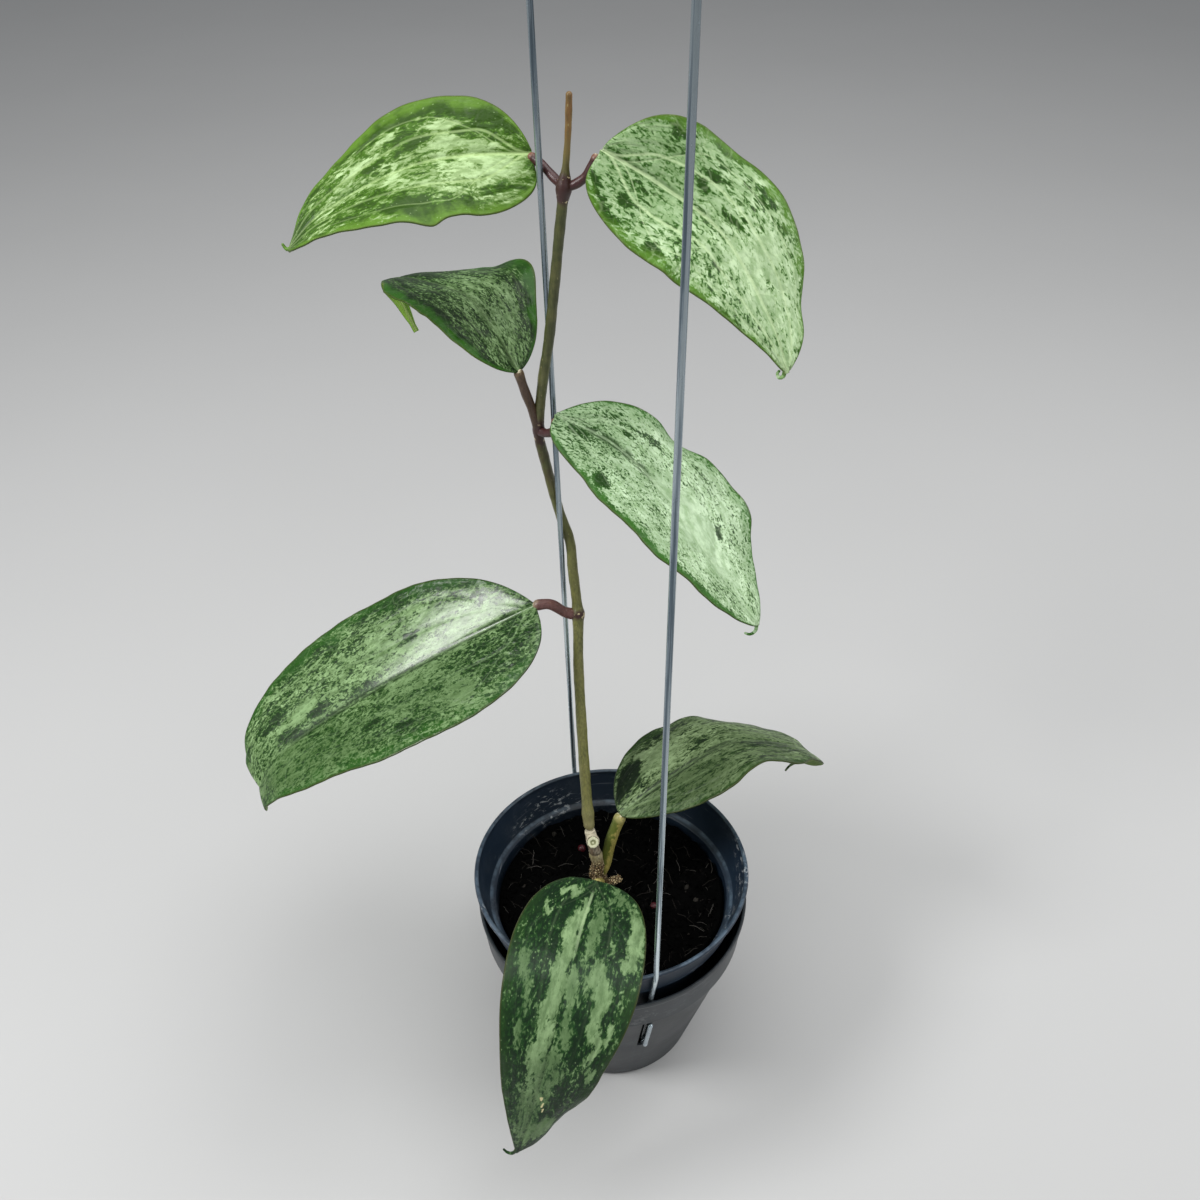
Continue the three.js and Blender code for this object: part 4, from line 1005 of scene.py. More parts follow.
def prill_material(settings):
    material, tree = new_material("prill_coating")
    speck = noise(object_place(tree), 1400.0, 4.0, 0.65)
    colour = mixed(between(speck, 0.45, 0.65), settings.prill, "#2b050c")
    return finished(material, colour, between(speck, 0.3, 0.7, 0.35, 0.55), speck, 0.15)


# The pots

def outer_wall(height):
    pot = OUTER_POT
    slope = (pot["band_bottom"] - pot["step"] - pot["base"]) / (pot["height"] - pot["band"])
    return pot["base"] + slope * height


def inner_wall(height):
    pot = INNER_POT
    return pot["base"] + (pot["ledge_radius"] - pot["base"]) * height / pot["ledge"]


def slot_cutter(azimuth):
    """A bar with blunt ends, through the wall of the outer pot."""
    middle, half = (SLOT["top"] + SLOT["bottom"]) / 2, (SLOT["top"] - SLOT["bottom"]) / 2
    side, outline = SLOT["width"] / 2, []
    for i in range(16):
        angle = 2 * math.pi * i / 16 + math.pi / 16
        x, y = math.cos(angle), math.sin(angle)
        outline.append((side * y, (half - side + 0.6) * (1 if x > 0 else -1) + side * 0.7 * x))
    turn = Matrix.Rotation(azimuth, 3, "Z")
    points = [turn @ Vector((outer_wall(middle) + depth, SLOT["offset"] + across, middle + up))
              for depth in (-5, 5) for across, up in outline]
    count = len(outline)
    faces = [(k + count, (k + 1) % count + count, (k + 1) % count, k) for k in range(count)]
    faces += [tuple(range(count)), tuple(range(count, 2 * count))[::-1]]
    return new_object("slot", new_mesh("slot", points, faces, False))


def make_outer_pot():
    settings, pot = bpy.context.scene.hoya_pots, OUTER_POT
    top, wall, rim, low = pot["height"], pot["wall"], pot["rim"], pot["band_bottom"]
    band = top - pot["band"]
    profile = [
        (0, 0), (pot["base"] - 1.2, 0), (outer_wall(1.2), 1.2), (outer_wall(band), band), (low, band + 0.8),
        (rim - 0.5, top - 2.6), (rim, top - 1.8), (rim, top), (rim - wall, top), (low - wall, band + 0.6),
        (outer_wall(band) - wall, band - 0.6), (outer_wall(pot["floor"]) - wall, pot["floor"]),
        (0, pot["floor"]),
    ]
    # A faint lighter band on the outer pot's band: partly dust haze, partly painted sheen.
    haze_and_sheen = (0.0655, 0.083, 0.10, "#4f5960")
    material = plastic_material("outer_pot_plastic", settings.outer, settings, haze_and_sheen, [])
    mesh = new_mesh("outer_pot", *turned(rounded(profile, 0.45), settings.sides))
    piece = new_object("outer_pot_shell", mesh, material)
    for azimuth in (WIRE["near"], WIRE["far"]):
        cutter = slot_cutter(azimuth)
        cut = piece.modifiers.new("Slot", "BOOLEAN")
        cut.operation, cut.object, cut.solver = "DIFFERENCE", cutter, "EXACT"
        applied(piece)
        bpy.data.objects.remove(cutter)
    piece.data.set_sharp_from_angle(angle=math.radians(45))
    finish_piece(piece, "outer_pot_plastic", "outer_pot")


def make_inner_pot():
    settings, pot = bpy.context.scene.hoya_pots, INNER_POT
    top, wall, rim, ledge = pot["height"], pot["wall"], pot["rim"], pot["ledge_radius"]
    start, neck = pot["ledge"] + 1, top - pot["rim_height"]
    profile = [
        (0, 0), (pot["base"] - 1, 0), (inner_wall(1), 1), (ledge, pot["ledge"]), (pot["band_bottom"], start),
        (pot["band_top"], neck), (rim - 0.2, neck + 0.1), (rim, top - 0.9), (rim - 0.4, top - 0.1),
        (rim - 1, top), (rim - 1.8, top - 0.4), (pot["band_top"] - wall, neck - 0.2),
        (pot["band_bottom"] - wall, start + 1.2), (ledge + 0.7, start + 0.7), (ledge - wall + 0.1, start),
        (ledge - wall, pot["ledge"] - 1), (inner_wall(1.1) - wall, 1.1), (0, 1.1),
    ]
    seat = INNER_SEAT.copy()
    seat.translation = seat.translation * MM
    # The band is a lighter haze on the upper wall: partly dust, partly painted sheen.
    material = plastic_material("inner_pot_plastic", settings.inner, settings, (0.079, 0.094, 0.5, "#233344"),
                                # Thin pale highlight lines are painted at the rim top and at the ledge.
                                [(top - 0.1) * MM, (start + 0.9) * MM], seat)
    mesh = new_mesh("inner_pot", *turned(rounded(profile, 0.35, 3), settings.sides))
    mesh.transform(seat)
    finish_piece(new_object("inner_pot_shell", mesh, material), "inner_pot_plastic", "inner_pot")


# The potting mix and the prills

def mix_height(x, y):
    wave = (np.sin(0.41 * x + 1.3) * np.sin(0.37 * y + 0.4) + 0.6 * np.sin(0.83 * x - 0.59 * y)
            + 0.5 * np.sin(1.21 * y + 0.9 * x + 2.0))
    return MIX["roughness"] * wave


def seated(points):
    """Points of the inner pot's own space, leaned as it leans."""
    turn = np.array(INNER_SEAT.to_3x3())
    return np.asarray(points, float) @ turn.T + np.array(INNER_SEAT.translation)


def mix_point(x, y, lift=0.0):
    return seated([(x, y, MIX["top"] + float(mix_height(x, y)) + lift)])[0]


def lumpy(points, centre, amount, scale, seed):
    """Pushes points in and out from a centre by a seeded noise."""
    out = []
    for point in points:
        ray = Vector(point) - Vector(centre)
        push = field.noise(ray * scale + Vector((seed * 7.1, seed * 3.3, seed)))
        out.append(Vector(centre) + ray * (1 + amount * push))
    return np.array(out)


def mix_body():
    """The plug of mix: a fine crumbled top, with the clods of the part's source, and plain sides."""
    top, bottom, wall_gap = MIX["top"], MIX["bottom"], INNER_POT["wall"] + 0.3
    top_radius = inner_wall(top - 2) - wall_gap
    profile = [(0, bottom), (inner_wall(bottom) - wall_gap - 0.4, bottom), (top_radius, top - 2)]
    profile += [(top_radius * part, top) for part in np.linspace(0.985, 0.02, 58)] + [(0, top)]
    points, faces = turned(profile, 150)
    upper = points[:, 2] > top - 0.5
    points[upper, 2] += mix_height(points[upper, 0], points[upper, 1])
    points[upper, 2] += waves(points[upper], (0.55, 0.55), (0.5, 1.3), (0.3, 2.9))
    parts = [(seated(points), faces)]
    random = draws(11)
    reach = inner_wall(top) - 4.5
    least, most = MIX["clod_radius"]
    for i in range(MIX["clods"]):
        radius = least + (most - least) * next(random) ** 2
        out, angle = reach * math.sqrt(next(random)), 2 * math.pi * next(random)
        place = mix_point(out * math.cos(angle), out * math.sin(angle), -0.35 * radius)
        next(random), next(random)
        these, those = ball(radius, place, 3)
        parts.append((lumpy(these, place, 0.35, 1.1, i), those))
    return joined(parts)


def mix_top():
    """The surface that crumbs and fibres lie on, open where the woody base leaves room."""
    top, reach = MIX["top"], inner_wall(MIX["top"]) - 3.5
    disc, faces = turned([(0, top)] + [(reach * k / 30, top) for k in range(1, 31)] + [(0, top - 1)], 60)
    last, disc = len(disc) - 1, disc[:-1]
    disc[:, 2] += mix_height(disc[:, 0], disc[:, 1])
    clear = smoothstep(np.linalg.norm(disc[:, :2] - np.array(MIX["root"]), axis=1), 3.5, 6.0)
    surface = new_mesh("mix_top", seated(disc), [face[::-1] for face in faces if last not in face])
    set_attribute(surface, "open", clear)
    return surface


def make_potting_mix():
    settings = bpy.context.scene.hoya_mix
    material, surface = mix_material(settings), mix_top()
    points, faces = mix_body()
    body = new_object("mix_body", new_mesh("mix_body", points, faces), material)
    set_attribute(body.data, "tint", np.full(len(points), 0.3))
    points, faces = ball(1.0, (0, 0, 0), 2)
    points = lumpy(points, (0, 0, 0), 0.8, 1.4, 4) * (1, 0.85, 0.7)
    crumb = new_object("crumb", new_mesh("crumb", points, faces, False))
    bow = spline([(-3.2, 0, -0.4), (-1.6, 0.2, 0.3), (0.2, -0.1, 0.6), (1.8, 0.15, 0.4), (3.2, -0.15, -0.4)],
                 np.linspace(0, 1, 9))
    points, faces = tube(bow, [0.10] * 9, 5)
    strand = new_object("strand", new_mesh("strand", points, faces))
    set_attribute(strand.data, "fibre", np.ones(len(points)))
    bits = [
        run_tree(new_object(name, surface.copy()), "Scattered bits", Form=form, Finish=material, **values)
        for name, form, values in (
            ("crumbs", crumb, dict(Density=settings.crumbs, Smallest=0.25, Largest=1.5, Sink=0.0002, Seed=5)),
            ("fibres", strand, dict(Density=settings.fibres, Smallest=0.4, Largest=1.3, Sink=-0.0003, Tilt=0.35,
                                    Seed=9)))]
    join_into(body, *bits)
    for form in (crumb, strand):
        bpy.data.objects.remove(form)
    body.name = "mix_with_crumbs_and_fibres"
    finish_piece(body, "potting_mix", "potting_mix")


def join_into(target, *others):
    bpy.ops.object.select_all(action="DESELECT")
    for piece in (target, *others):
        piece.select_set(True)
    bpy.context.view_layer.objects.active = target
    bpy.ops.object.join()
    target.select_set(False)


def make_prills():
    material = prill_material(bpy.context.scene.hoya_mix)
    for i, (x, y) in enumerate(PRILLS["places"]):
        place = mix_point(x, y, 0.4)
        points, faces = ball(PRILLS["radius"], place, 5)
        mesh = new_mesh("prill", lumpy(points, place, 0.05, 0.9, i), faces)
        finish_piece(new_object(f"prill_{i + 1}", mesh, material), "prill_coating", f"fertiliser_prill_{i + 1}")


# The wire hoop

def hoop_foot(azimuth, shoulder, top_x):
    """Places along one foot of the hoop: its hook, the leg inside the wall, and the wire up to the arch."""
    at = lambda radius, height: np.array([radius * math.cos(azimuth), radius * math.sin(azimuth), height])
    inside = lambda height: outer_wall(height) - OUTER_POT["wall"] - WIRE["radius"] - 0.35
    bend, top, leg = WIRE["turn"], WIRE["hook_top"], WIRE["leg"]
    low = WIRE["hook_bottom"] + bend
    centre = inside(low) + bend
    offset = centre + bend - outer_wall(low)
    foot = [at(outer_wall(height) + offset, height) for height in (top, low + 4)]
    for i in range(17):
        angle = -math.pi * i / 16
        foot.append(at(centre + bend * math.cos(angle), low + bend * math.sin(angle)))
    rim_inside = OUTER_POT["rim"] - OUTER_POT["wall"] - WIRE["radius"] - 0.5
    foot += [at(inside(low + 4), low + 4), at(inside(65), 65), at(rim_inside, OUTER_POT["height"]),
             at(leg - 0.4, shoulder - 1), at(leg, shoulder + 2)]
    return foot + [np.array([top_x, foot[-1][1], WIRE["arch"]])]


def corner_cut(path, times, reach):
    """Softens the corners of a path, each within a short reach."""
    for _ in range(times):
        out = [path[0]]
        for a, b in zip(path, path[1:]):
            share = min(0.25, reach / max(np.linalg.norm(b - a), 1e-9))
            out += [a + (b - a) * share, b - (b - a) * share]
        path = out + [path[-1]]
        reach *= 0.4
    return np.array(path)


def make_wire_hoop():
    settings = bpy.context.scene.hoya_wire
    near_x = WIRE["leg"] * math.cos(WIRE["near"])
    far_x = WIRE["leg"] * math.cos(WIRE["far"]) + WIRE["lean"] * (WIRE["arch"] - WIRE["far_shoulder"])
    near = hoop_foot(WIRE["near"], WIRE["near_shoulder"], near_x)
    far = hoop_foot(WIRE["far"], WIRE["far_shoulder"], far_x)
    centre, half = (near[-1] + far[-1]) / 2, (near[-1] - far[-1]) / 2
    size = np.linalg.norm(half)
    arch = [centre + half * math.cos(math.pi * i / 72) + np.array([0, 0, size * math.sin(math.pi * i / 72)])
            for i in range(1, 72)]
    path = corner_cut(near + arch + far[::-1], 2, 2.2)
    # Marks the wire behind the pot wall, where it is painted dark as shade.
    behind_wall = np.hypot(path[:, 0], path[:, 1]) < outer_wall(path[:, 2]) - 0.8
    painted_shade_in_wall = (behind_wall & (path[:, 2] < OUTER_POT["height"] - 6)).astype(float)
    path, girths, extra = round_ends(path, np.full(len(path), settings.radius / MM), {"painted_shade_in_wall": painted_shade_in_wall})
    piece = bar_piece("hoop_wire", path, girths, wire_material(settings), 16, extra)
    finish_piece(piece, "galvanised_wire", "wire_hoop")


# The stem, its woody base and the stalks

def woody_form():
    """The trunk with its callus lumps and stub, and the cut scar on top, blended into one skin."""
    path, _, _ = spline_by_length(TRUNK, np.linspace(0, 1, 60))
    height, share = path[:, 2], np.linspace(0, 1, 14)
    girth = (2.25 + 0.12 * np.sin(height * 0.9) + 0.5 * bell(height, 90, 9) + 0.35 * bell(height, 104.5, 2.2)
             - 0.25 * bell(height, 107.4, 0.7))
    parts = [tube(path, girth, 24)]
    random = draws(5)
    for i in range(16):
        height, angle = 84 + 15 * next(random), 2 * math.pi * next(random)
        out = 1.8 + 0.9 * next(random)
        place = np.array([-5.4 + out * math.cos(angle), out * math.sin(angle), height])
        points, faces = ball(1.1 + 0.7 * next(random), place, 3)
        parts.append((lumpy(points, place, 0.35, 1.0, i), faces))
    parts.append(tube(spline(STUB, share), 1.55 + 0.15 * np.cos(6 * math.pi * share), 20))
    scar = spline(SCAR, np.linspace(0, 1, 7))
    parts.append(tube(scar, [2.5, 2.6, 2.6, 2.6, 2.6, 2.5, 2.25], 28))
    piece = new_object("woody_base_bark", new_mesh("woody_base", *joined(parts)))
    remesh = piece.modifiers.new("Blend", "REMESH")
    remesh.mode, remesh.voxel_size = "VOXEL", 0.00026
    smooth = piece.modifiers.new("Smooth", "SMOOTH")
    smooth.factor, smooth.iterations = 0.5, 6
    return applied(piece), scar


def make_woody_base():
    piece, scar = woody_form()
    vertices = piece.data.vertices
    points = np.zeros(len(vertices) * 3, np.float32)
    vertices.foreach_get("co", points)
    points = points.reshape(-1, 3) / MM
    normals = np.array([v.normal for v in vertices])
    push = waves(points, (0.24, 0.9), (0.12, (2.2, 2.2, 1.1)))
    push += 1.5 * waves(points, (0.45, 1.6), (0.25, 3.1)) * smoothstep(points[:, 2], 102, 97)
    ahead = (scar[-1] - scar[-2]) / np.linalg.norm(scar[-1] - scar[-2])
    depth = (points - scar[-1]) @ ahead
    radial = np.linalg.norm((points - scar[-1]) - depth[:, None] * ahead, axis=1)
    face = smoothstep(depth, -1.0, -0.2) * smoothstep(radial, 2.9, 2.3)
    push *= 1 - 0.8 * np.maximum(smoothstep(points[:, 2], 110, 114) * 0.6, face)
    points += normals * push[:, None]
    points -= ahead * (0.35 * face * bell(radial, 0, 0.9))[:, None]
    vertices.foreach_set("co", (points * MM).astype(np.float32).ravel())
    piece.data.update()
    set_attribute(piece.data, "scar", face)
    set_attribute(piece.data, "scar_radius", radial)
    piece.data.materials.clear()
    piece.data.materials.append(bark_material(bpy.context.scene.hoya_stems))
    finish_piece(piece, "bark", "woody_base")


def make_vine_stem():
    share = np.linspace(0, 1, 420)
    path, _, _ = spline_by_length(VINE, share)
    height = path[:, 2]
    shoot = smoothstep(height, 357, 363)
    plain = (2.15 - 0.6 * share) * (1 - shoot) + (1.05 - 0.9 * (share - 0.9)) * shoot
    swelling = sum(swell * bell(height, level, spread) for level, swell, spread in NODES)
    girth = plain + swelling * (1 - shoot) + 0.05 * np.sin(height * 0.37) + 0.03 * np.sin(height * 1.1 + 1)
    for level, _, _ in NODES[1:]:
        girth += 0.10 * (bell(height, level + 3.4, 0.5) + bell(height, level - 3.2, 0.5))
    dark = np.clip(sum(amount * bell(height, level, spread) for level, amount, spread in DARK_NODES), 0, 1)
    path, girth, extra = round_ends(path, girth, {"node_dark": dark})
    piece = bar_piece("vine_stem_skin", path, girth, stem_material(bpy.context.scene.hoya_stems), 24, extra)
    finish_piece(piece, "vine_skin", "vine_stem")


def make_stalks():
    settings = bpy.context.scene.hoya_stems
    maroon = stalk_material("maroon_stalk_skin", settings.maroon, "#2a1616", "#94694f")
    brown = stalk_material("brown_stalk_skin", "#523d2e", "#2f201a", "#75634a")
    pink = stalk_material("pink_stalk_skin", "#724d48", "#482c28", "#a99a80")
    green = stalk_material("green_stalk_skin", settings.green, "#4a5220", "#b5aa6c", "#4f5f1f")
    skins = {"upper_left": brown, "middle_left": pink, "base_right": green, "base_front": green}
    share = np.linspace(0, 1, 48)
    for name, leaf in LEAVES.items():
        path, _, _ = spline_by_length(leaf["stalk"], share)
        girth = leaf["stalk_radius"] * (1 + 0.25 * np.exp(-share * 9) + 0.12 * np.exp((share - 1) * 9))
        girth += 0.06 * np.sin(share * 17 + len(name))
        path, girth, extra = round_ends(path, girth, {"share": share})
        piece = bar_piece(f"stalk_skin_{name}", path, girth, skins.get(name, maroon), 22, extra)
        across, up = (np.array([v.co[axis] / MM for v in piece.data.vertices]) for axis in (0, 2))
        flank = np.ones(len(up))
        if name == "base_right":
            flank = (across - np.interp(up, path[:, 2], path[:, 0])) / leaf["stalk_radius"]
        set_attribute(piece.data, "flank", flank)
        slot = "green_stalk_skin" if name.startswith("base") else "maroon_stalk_skin"
        finish_piece(piece, slot, f"stalk_{name}")


# The leaves

def blade_outline(t, widest, fullness):
    """Half width over its greatest value, at places t along the blade."""
    t = np.clip(t, 1e-6, 1 - 1e-6)
    return (t / widest) ** (fullness * widest) * ((1 - t) / (1 - widest)) ** (fullness * (1 - widest))


def midrib_frames(leaf, rows):
    """The midrib's places, directions, upward and sideways directions, base to tip."""
    u = np.linspace(0, 1, rows + 1)
    t = u - 0.6 * np.sin(2 * math.pi * u) / (2 * math.pi)
    place, along, length = spline_by_length(leaf["midrib"], t)
    home = int(round(BLADE_HOME * rows))
    up = np.zeros_like(place)

    def square(direction, axis):
        direction = direction - axis * direction.dot(axis)
        return direction / np.linalg.norm(direction)

    up[home] = square(np.array(leaf["facing"], float), along[home])
    for i in range(home + 1, rows + 1):
        up[i] = square(up[i - 1], along[i])
    for i in range(home - 1, -1, -1):
        up[i] = square(up[i + 1], along[i])
    side = np.cross(along, up)
    turn = np.where(t < 0.4, leaf["twist"][0] * (1 - t / 0.4), leaf["twist"][1] * (t - 0.4) / 0.6)
    cos, sin = np.cos(np.radians(turn))[:, None], np.sin(np.radians(turn))[:, None]
    return t, place, along, up * cos + side * sin, side * cos - up * sin, length


def blade_surface(leaf, rows, columns):
    """The middle surface of a blade on a grid of rows and columns, and the half width in each point."""
    t, place, along, up, across, length = midrib_frames(leaf, rows)
    v = np.sin(np.linspace(-1, 1, columns + 1) * math.pi / 2 * 0.8) / math.sin(math.pi / 2 * 0.8)
    t, v = t[:, None], v[None, :]
    a, right = np.abs(v), v >= 0
    start, end, share = leaf.get("taper", (0, 1, 0))
    taper = 1 - share * smoothstep(t, start, end)
    law = [blade_outline(t, leaf["widest"][k], leaf["fullness"][k]) * taper * leaf["width"][k] for k in (0, 1)]
    width = np.maximum(np.where(right, law[1], law[0]), NARROWEST)
    fold = math.radians(leaf["fold"])
    lift = a * width * math.sin(fold) - leaf["droop"] * a * a * width
    reach = a * width * math.cos(fold)
    for side, where, spread, rise, out in leaf["ripples"]:
        ripple = bell(t, where, spread) * a ** 3 * (np.sign(v) == side)
        lift = lift + rise * ripple
        reach = reach + out * ripple
    lobe = np.where(right, leaf["lobe"][1], leaf["lobe"][0])
    back = lobe * a * bell(t, 0, 0.12) * (1 - np.exp(-t / 0.012))
    run = t * length
    frill = np.sin(run * 0.55 + 2 * np.sign(v)) * np.sin(run * 0.21 + 1) * a ** 4 * np.minimum(width / 8, 1)
    lift = lift + 0.22 * frill
    points = (place[:, None] - along[:, None] * back[..., None]
              + across[:, None] * (np.sign(v) * reach)[..., None] + up[:, None] * lift[..., None])
    return points, np.broadcast_to(t, lift.shape), np.broadcast_to(v, lift.shape), width, length


def blade_sides(points, t, v, width, length, settings):
    """The upper and lower faces, with a groove over the veins and a ridge below, and both rounded edges."""
    right = np.gradient(points, axis=1)
    normal = np.cross(right, np.gradient(points, axis=0))
    normal /= np.linalg.norm(normal, axis=2)[..., None]
    middle, edge = settings.middle / MM, settings.edge / MM
    half = (middle + (edge - middle) * v ** 2) / 2
    from_midrib = np.abs(v) * width
    veins = bell(from_midrib, 0, 1.1)
    for home, strength, end in ((0.40, 0.45, 16), (0.72, 0.3, 30)):
        rise = smoothstep(t * length, -2, end)
        veins = np.maximum(veins, strength * bell((np.abs(v) - home * rise) * width, 0, 1.3) * (rise > 0.3))
    groove = settings.groove / MM * veins * np.clip(1 - t, 0, 1) ** 0.5 * smoothstep(width, 1.0, 5.0)
    ridge = bell(from_midrib, 0, 1.25) * (0.25 + 0.75 * (1 - t)) * smoothstep(width, 0.8, 4)
    upper = points + normal * (half - groove)[..., None]
    lower = points - normal * (half + settings.rib / MM * ridge + 0.25 * groove)[..., None]
    edges = []
    for column, sign in ((-1, 1), (0, -1)):
        outward = sign * right[:, column] / np.linalg.norm(right[:, column], axis=1)[:, None]
        swings = [math.pi * angle - math.pi / 2 for angle in (0.35, 0.65)]
        edges.append(np.stack([
            points[:, column] + outward * (half[:, column] * math.cos(swing))[:, None]
            - normal[:, column] * (half[:, column] * math.sin(swing))[:, None] for swing in swings], axis=1))
    return upper, lower, edges


def blade_mesh(leaf, settings, rows=120, columns=52):
    """Both faces of a blade with a rounded edge, and its tail, with the values that its colours need."""
    points, t, v, width, length = blade_surface(leaf, rows, columns)
    upper, lower, edges = blade_sides(points, t, v, width, length, settings)
    ring = np.concatenate([upper, edges[0], lower[:, ::-1], edges[1][:, ::-1]], axis=1)
    around = ring.shape[1]

    def fill(values):
        pair = lambda column: np.repeat(values[:, column][:, None], 2, axis=1)
        return np.concatenate([values, pair(-1), values[:, ::-1], pair(0)], axis=1)

    half_way = np.tile([0.3, 0.8], (rows + 1, 1))
    under = np.concatenate([np.zeros_like(v), half_way, np.ones_like(v), half_way[:, ::-1]], axis=1)
    faces = ring_faces(rows, around)
    for base, backwards in ((0, False), (rows * around, True)):
        caps = [(base + j, base + around - 3 - j, base + around - 4 - j, base + j + 1) for j in range(columns)]
        caps.append((base + columns, base + columns + 3, base + columns + 2, base + columns + 1))
        caps.append((base, base + around - 1, base + around - 2, base + around - 3))
        faces += [cap[::-1] if backwards else cap for cap in caps]
    points = ring.reshape(-1, 3)
    values = {"blade_side": fill(v), "half_width": fill(width), "underside": under, "share": fill(t)}
    values = {key: row.ravel() for key, row in values.items()}
    run, across = values["share"] * length, values["blade_side"] * values["half_width"]
    if "tail" in leaf:
        share = np.linspace(0, 1, 22)
        tail, radii, _ = round_ends(spline(leaf["tail"], share), 0.75 - 0.35 * share)
        more = tube(tail, radii, 12)
        points, faces = joined([(points, faces), more])
        extra = len(more[0])
        run = np.concatenate([run, np.repeat(np.linspace(0, 6, len(tail)), 12) + length])
        across = np.concatenate([across, np.zeros(extra)])
        for key, value in (("blade_side", 0.9), ("half_width", 6.0), ("underside", 0.0), ("share", 1.0)):
            values[key] = np.concatenate([values[key], np.full(extra, value)])
    return points, faces, values, np.stack([run, across, np.zeros(len(run))], axis=1)


def spot(t, v, where, side, spread, spread_side, power=1):
    """A soft spot on a blade, with a flat top where the power is 2."""
    return np.exp(-(((t - where) / spread) ** 2 + ((v - side) / spread_side) ** 2) ** power)


def make_leaves():
    settings = bpy.context.scene.hoya_leaves
    for name, leaf in LEAVES.items():
        look = LOOKS[name]
        points, faces, values, place = blade_mesh(leaf, settings)
        mesh = new_mesh(f"leaf_{name}", points, faces)
        share, side, zero = values["share"], values["blade_side"], np.zeros(len(points))
        t = share + 0.012 * np.sin(23 * side + 5 * look["seed"]) + 0.008 * np.sin(71 * share + 31 * side)
        v = side + 0.022 * np.sin(53 * share + 9 * look["seed"]) + 0.015 * np.sin(117 * share + 13 * side)
        # Patches move the silver cover; a few of them are painted sheen, where the gloss catches the light.
        bias = zero + sum(amount * spot(t, v, *where, 2) for *where, amount in look["patches"])
        # Dull spots: the blade's own duller silver, and painted shade on the halves that face away from the
        # light.
        dull_and_shade = zero
        for *where, amount in look.get("dull_and_shade", []):
            dull_and_shade = np.maximum(dull_and_shade, amount * spot(t, v, *where, 2))
        scar = zero + sum(spot(share, side, *where) for where in look.get("scars", []))
        for key in ("blade_side", "half_width", "underside"):
            set_attribute(mesh, key, values[key])
        for key, value in (("splash_bias", bias), ("splash_dull_and_shade", dull_and_shade), ("scar", scar)):
            set_attribute(mesh, key, value)
        set_attribute(mesh, "blade_place", place, "FLOAT_VECTOR")
        set_attribute(mesh, "blade_share", np.stack([share, side, zero], axis=1), "FLOAT_VECTOR")
        piece = new_object(f"blade_{name}", mesh, leaf_material(name, look, settings))
        finish_piece(piece, "leaf_blade", f"leaf_{name}")


# The stage: floor, light and camera

def area_light(name, power, size, place, target=(0, 0, 0.2)):
    light = bpy.data.lights.new(name, "AREA")
    light.energy, light.shape, light.size = power, "DISK", size
    lamp = bpy.data.objects.new(name, light)
    lamp.location = place
    lamp.rotation_euler = (Vector(target) - Vector(place)).to_track_quat("-Z", "Y").to_euler()
    bpy.context.scene.collection.objects.link(lamp)


def make_camera():
    pitch, yaw, roll = (math.radians(angle) for angle in (40, -0.78, -0.5))
    ahead = Vector((math.sin(yaw) * math.cos(pitch), math.cos(yaw) * math.cos(pitch), -math.sin(pitch)))
    level = Vector((math.cos(yaw), -math.sin(yaw), 0))
    above = level.cross(ahead)
    right = level * math.cos(roll) + above * math.sin(roll)
    up = above * math.cos(roll) - level * math.sin(roll)
    data = bpy.data.cameras.new("camera")
    data.sensor_width, data.lens, data.clip_start = 36, 36, 0.01
    camera = bpy.data.objects.new("camera", data)
    axes = Matrix((right, up, -ahead)).transposed().to_4x4()
    camera.matrix_world = Matrix.Translation((0, -0.301, 0.491)) @ axes
    bpy.context.scene.collection.objects.link(camera)
    bpy.context.scene.camera = camera


def make_stage():
    scene, settings = bpy.context.scene, bpy.context.scene.hoya_stage
    corners = [(x * FLOOR, y * FLOOR, 0) for x, y in ((-1, -1), (1, -1), (1, 1), (-1, 1))]
    mesh = new_mesh("floor", corners, [(0, 1, 2, 3)])
    material, tree = new_material("pale_floor")
    soft = noise(object_place(tree), 3.0, 3.0)
    colour = mixed(between(soft, 0.3, 0.7, 0.0, 0.06), settings.floor, "#9f9f9e")
    finished(material, colour, 0.85, Specular_IOR_Level=0.2)
    new_object("floor", mesh, material)
    world = bpy.data.worlds.new("studio")
    scene.world = world
    scene.view_settings.view_transform = "Standard"
    world.use_nodes = True
    room = world.node_tree.nodes["Background"].inputs
    room["Color"].default_value = (0.93, 0.96, 1.0, 1.0)
    room["Strength"].default_value = settings.sky
    area_light("overhead_softbox", settings.key, 1.3, (0.1, 0.1, 1.5))
    area_light("left_softbox", settings.side, 0.34, (-0.66, -0.22, 0.82), (-0.06, 0.03, 0.19))
    area_light("right_softbox", settings.side * 0.5, 0.45, (0.81, -0.02, 0.70), (0.05, 0.02, 0.22))
    area_light("front_fill", settings.fill, 1.2, (0.5, -1.2, 0.9))
    make_camera()


# Operators, panel and registration

class Maker:
    """An operator that calls its make function."""

    def execute(self, context):
        type(self).make()
        return {"FINISHED"}


class HOYA_OT_stage(Maker, bpy.types.Operator):
    """Make the pale floor, the soft studio light and the camera"""
    bl_idname, bl_label, make = "hoya.stage", "Stage", staticmethod(make_stage)


class HOYA_OT_outer_pot(Maker, bpy.types.Operator):
    """Make the hanging pot with its two wire slots"""
    bl_idname, bl_label, make = "hoya.outer_pot", "Outer pot", staticmethod(make_outer_pot)


class HOYA_OT_inner_pot(Maker, bpy.types.Operator):
    """Make the nursery pot that stands in the hanging pot"""
    bl_idname, bl_label, make = "hoya.inner_pot", "Inner pot", staticmethod(make_inner_pot)


class HOYA_OT_potting_mix(Maker, bpy.types.Operator):
    """Make the potting mix with its crumbs and fibres"""
    bl_idname, bl_label, make = "hoya.potting_mix", "Potting mix", staticmethod(make_potting_mix)


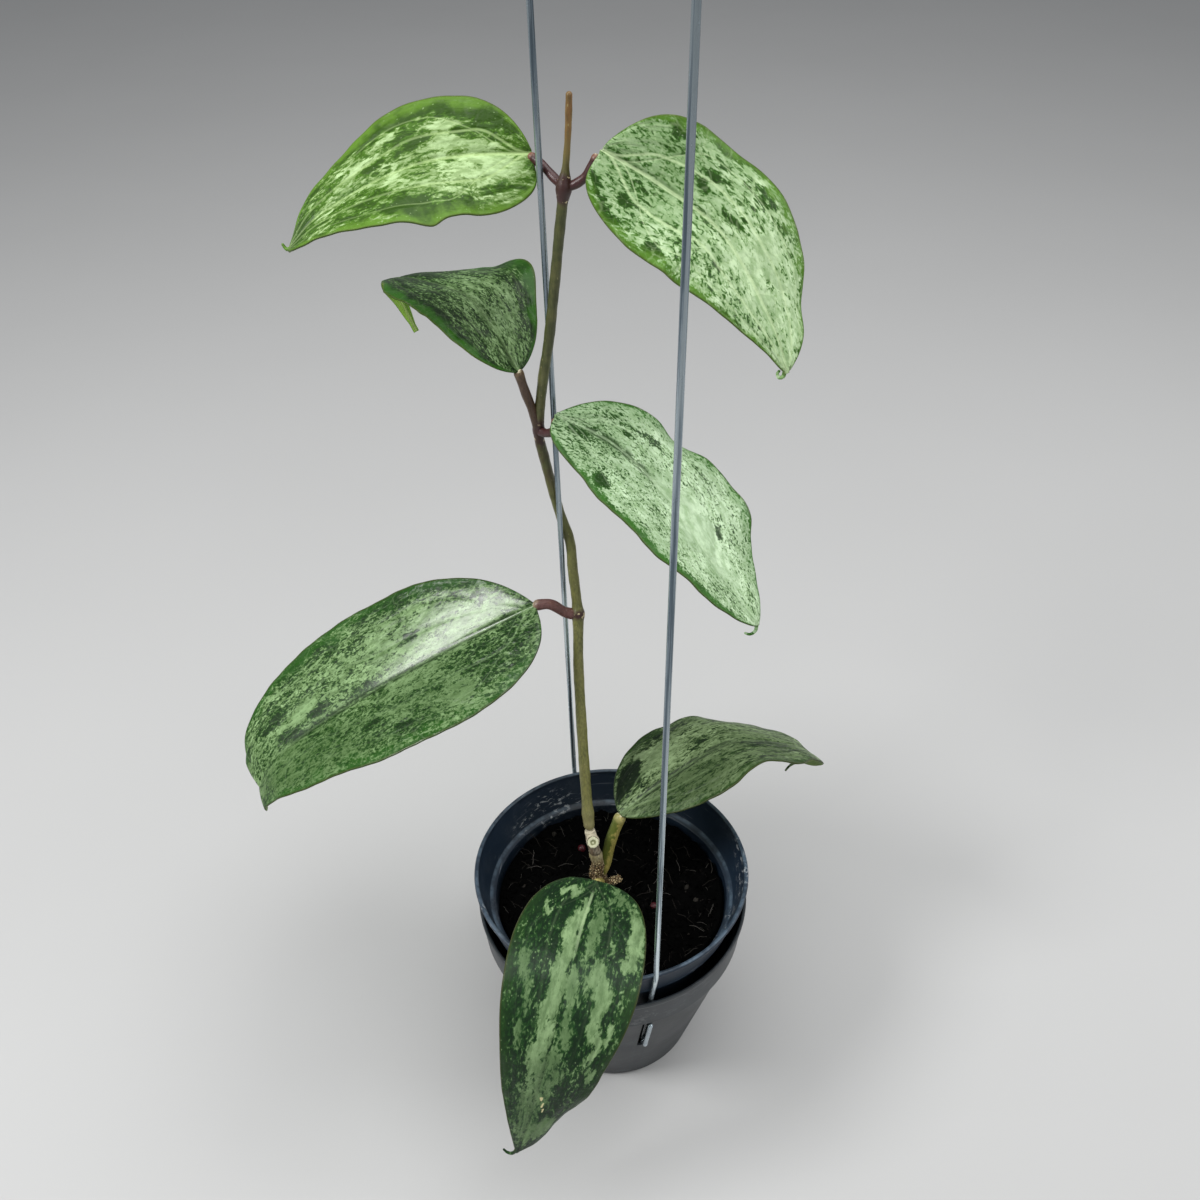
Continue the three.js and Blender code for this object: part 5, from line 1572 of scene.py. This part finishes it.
class HOYA_OT_prills(Maker, bpy.types.Operator):
    """Make the fertiliser prills on the mix"""
    bl_idname, bl_label, make = "hoya.prills", "Prills", staticmethod(make_prills)


class HOYA_OT_wire_hoop(Maker, bpy.types.Operator):
    """Bend the wire hoop with its two hooked feet"""
    bl_idname, bl_label, make = "hoya.wire_hoop", "Wire hoop", staticmethod(make_wire_hoop)


class HOYA_OT_woody_base(Maker, bpy.types.Operator):
    """Make the woody base with its callus, stub and scar"""
    bl_idname, bl_label, make = "hoya.woody_base", "Woody base", staticmethod(make_woody_base)


class HOYA_OT_vine_stem(Maker, bpy.types.Operator):
    """Make the twining stem and its shoot tip"""
    bl_idname, bl_label, make = "hoya.vine_stem", "Vine stem", staticmethod(make_vine_stem)


class HOYA_OT_stalks(Maker, bpy.types.Operator):
    """Make the seven leaf stalks"""
    bl_idname, bl_label, make = "hoya.stalks", "Leaf stalks", staticmethod(make_stalks)


class HOYA_OT_leaves(Maker, bpy.types.Operator):
    """Make the seven splashed leaf blades"""
    bl_idname, bl_label, make = "hoya.leaves", "Leaf blades", staticmethod(make_leaves)


OPERATORS = [HOYA_OT_stage, HOYA_OT_outer_pot, HOYA_OT_inner_pot, HOYA_OT_potting_mix, HOYA_OT_prills,
             HOYA_OT_wire_hoop, HOYA_OT_woody_base, HOYA_OT_vine_stem, HOYA_OT_stalks, HOYA_OT_leaves]
SETTINGS = {"hoya_leaves": HoyaLeafSettings, "hoya_stems": HoyaStemSettings, "hoya_pots": HoyaPotSettings,
            "hoya_wire": HoyaWireSettings, "hoya_mix": HoyaMixSettings, "hoya_stage": HoyaStageSettings}


class HOYA_PT_panel(bpy.types.Panel):
    """Lists the pieces of the plant and their settings"""
    bl_label = "Potted hoya"
    bl_idname = "HOYA_PT_panel"
    bl_space_type = "VIEW_3D"
    bl_region_type = "UI"
    bl_category = "Hoya"

    def draw(self, context):
        for operator in OPERATORS:
            self.layout.operator(operator.bl_idname)
        for name, group in SETTINGS.items():
            box = self.layout.box()
            box.label(text=name.replace("hoya_", "").capitalize())
            for key in group.__annotations__:
                box.prop(getattr(context.scene, name), key)


def register():
    for kind in (*SETTINGS.values(), *OPERATORS, HOYA_PT_panel):
        bpy.utils.register_class(kind)
    for name, group in SETTINGS.items():
        setattr(bpy.types.Scene, name, bpy.props.PointerProperty(type=group))


def unregister():
    for name in SETTINGS:
        delattr(bpy.types.Scene, name)
    for kind in (HOYA_PT_panel, *reversed(OPERATORS), *SETTINGS.values()):
        bpy.utils.unregister_class(kind)


def main():
    register()
    for operator in OPERATORS:
        getattr(bpy.ops.hoya, operator.bl_idname.split(".")[1])()


if __name__ == "__main__":
    main()
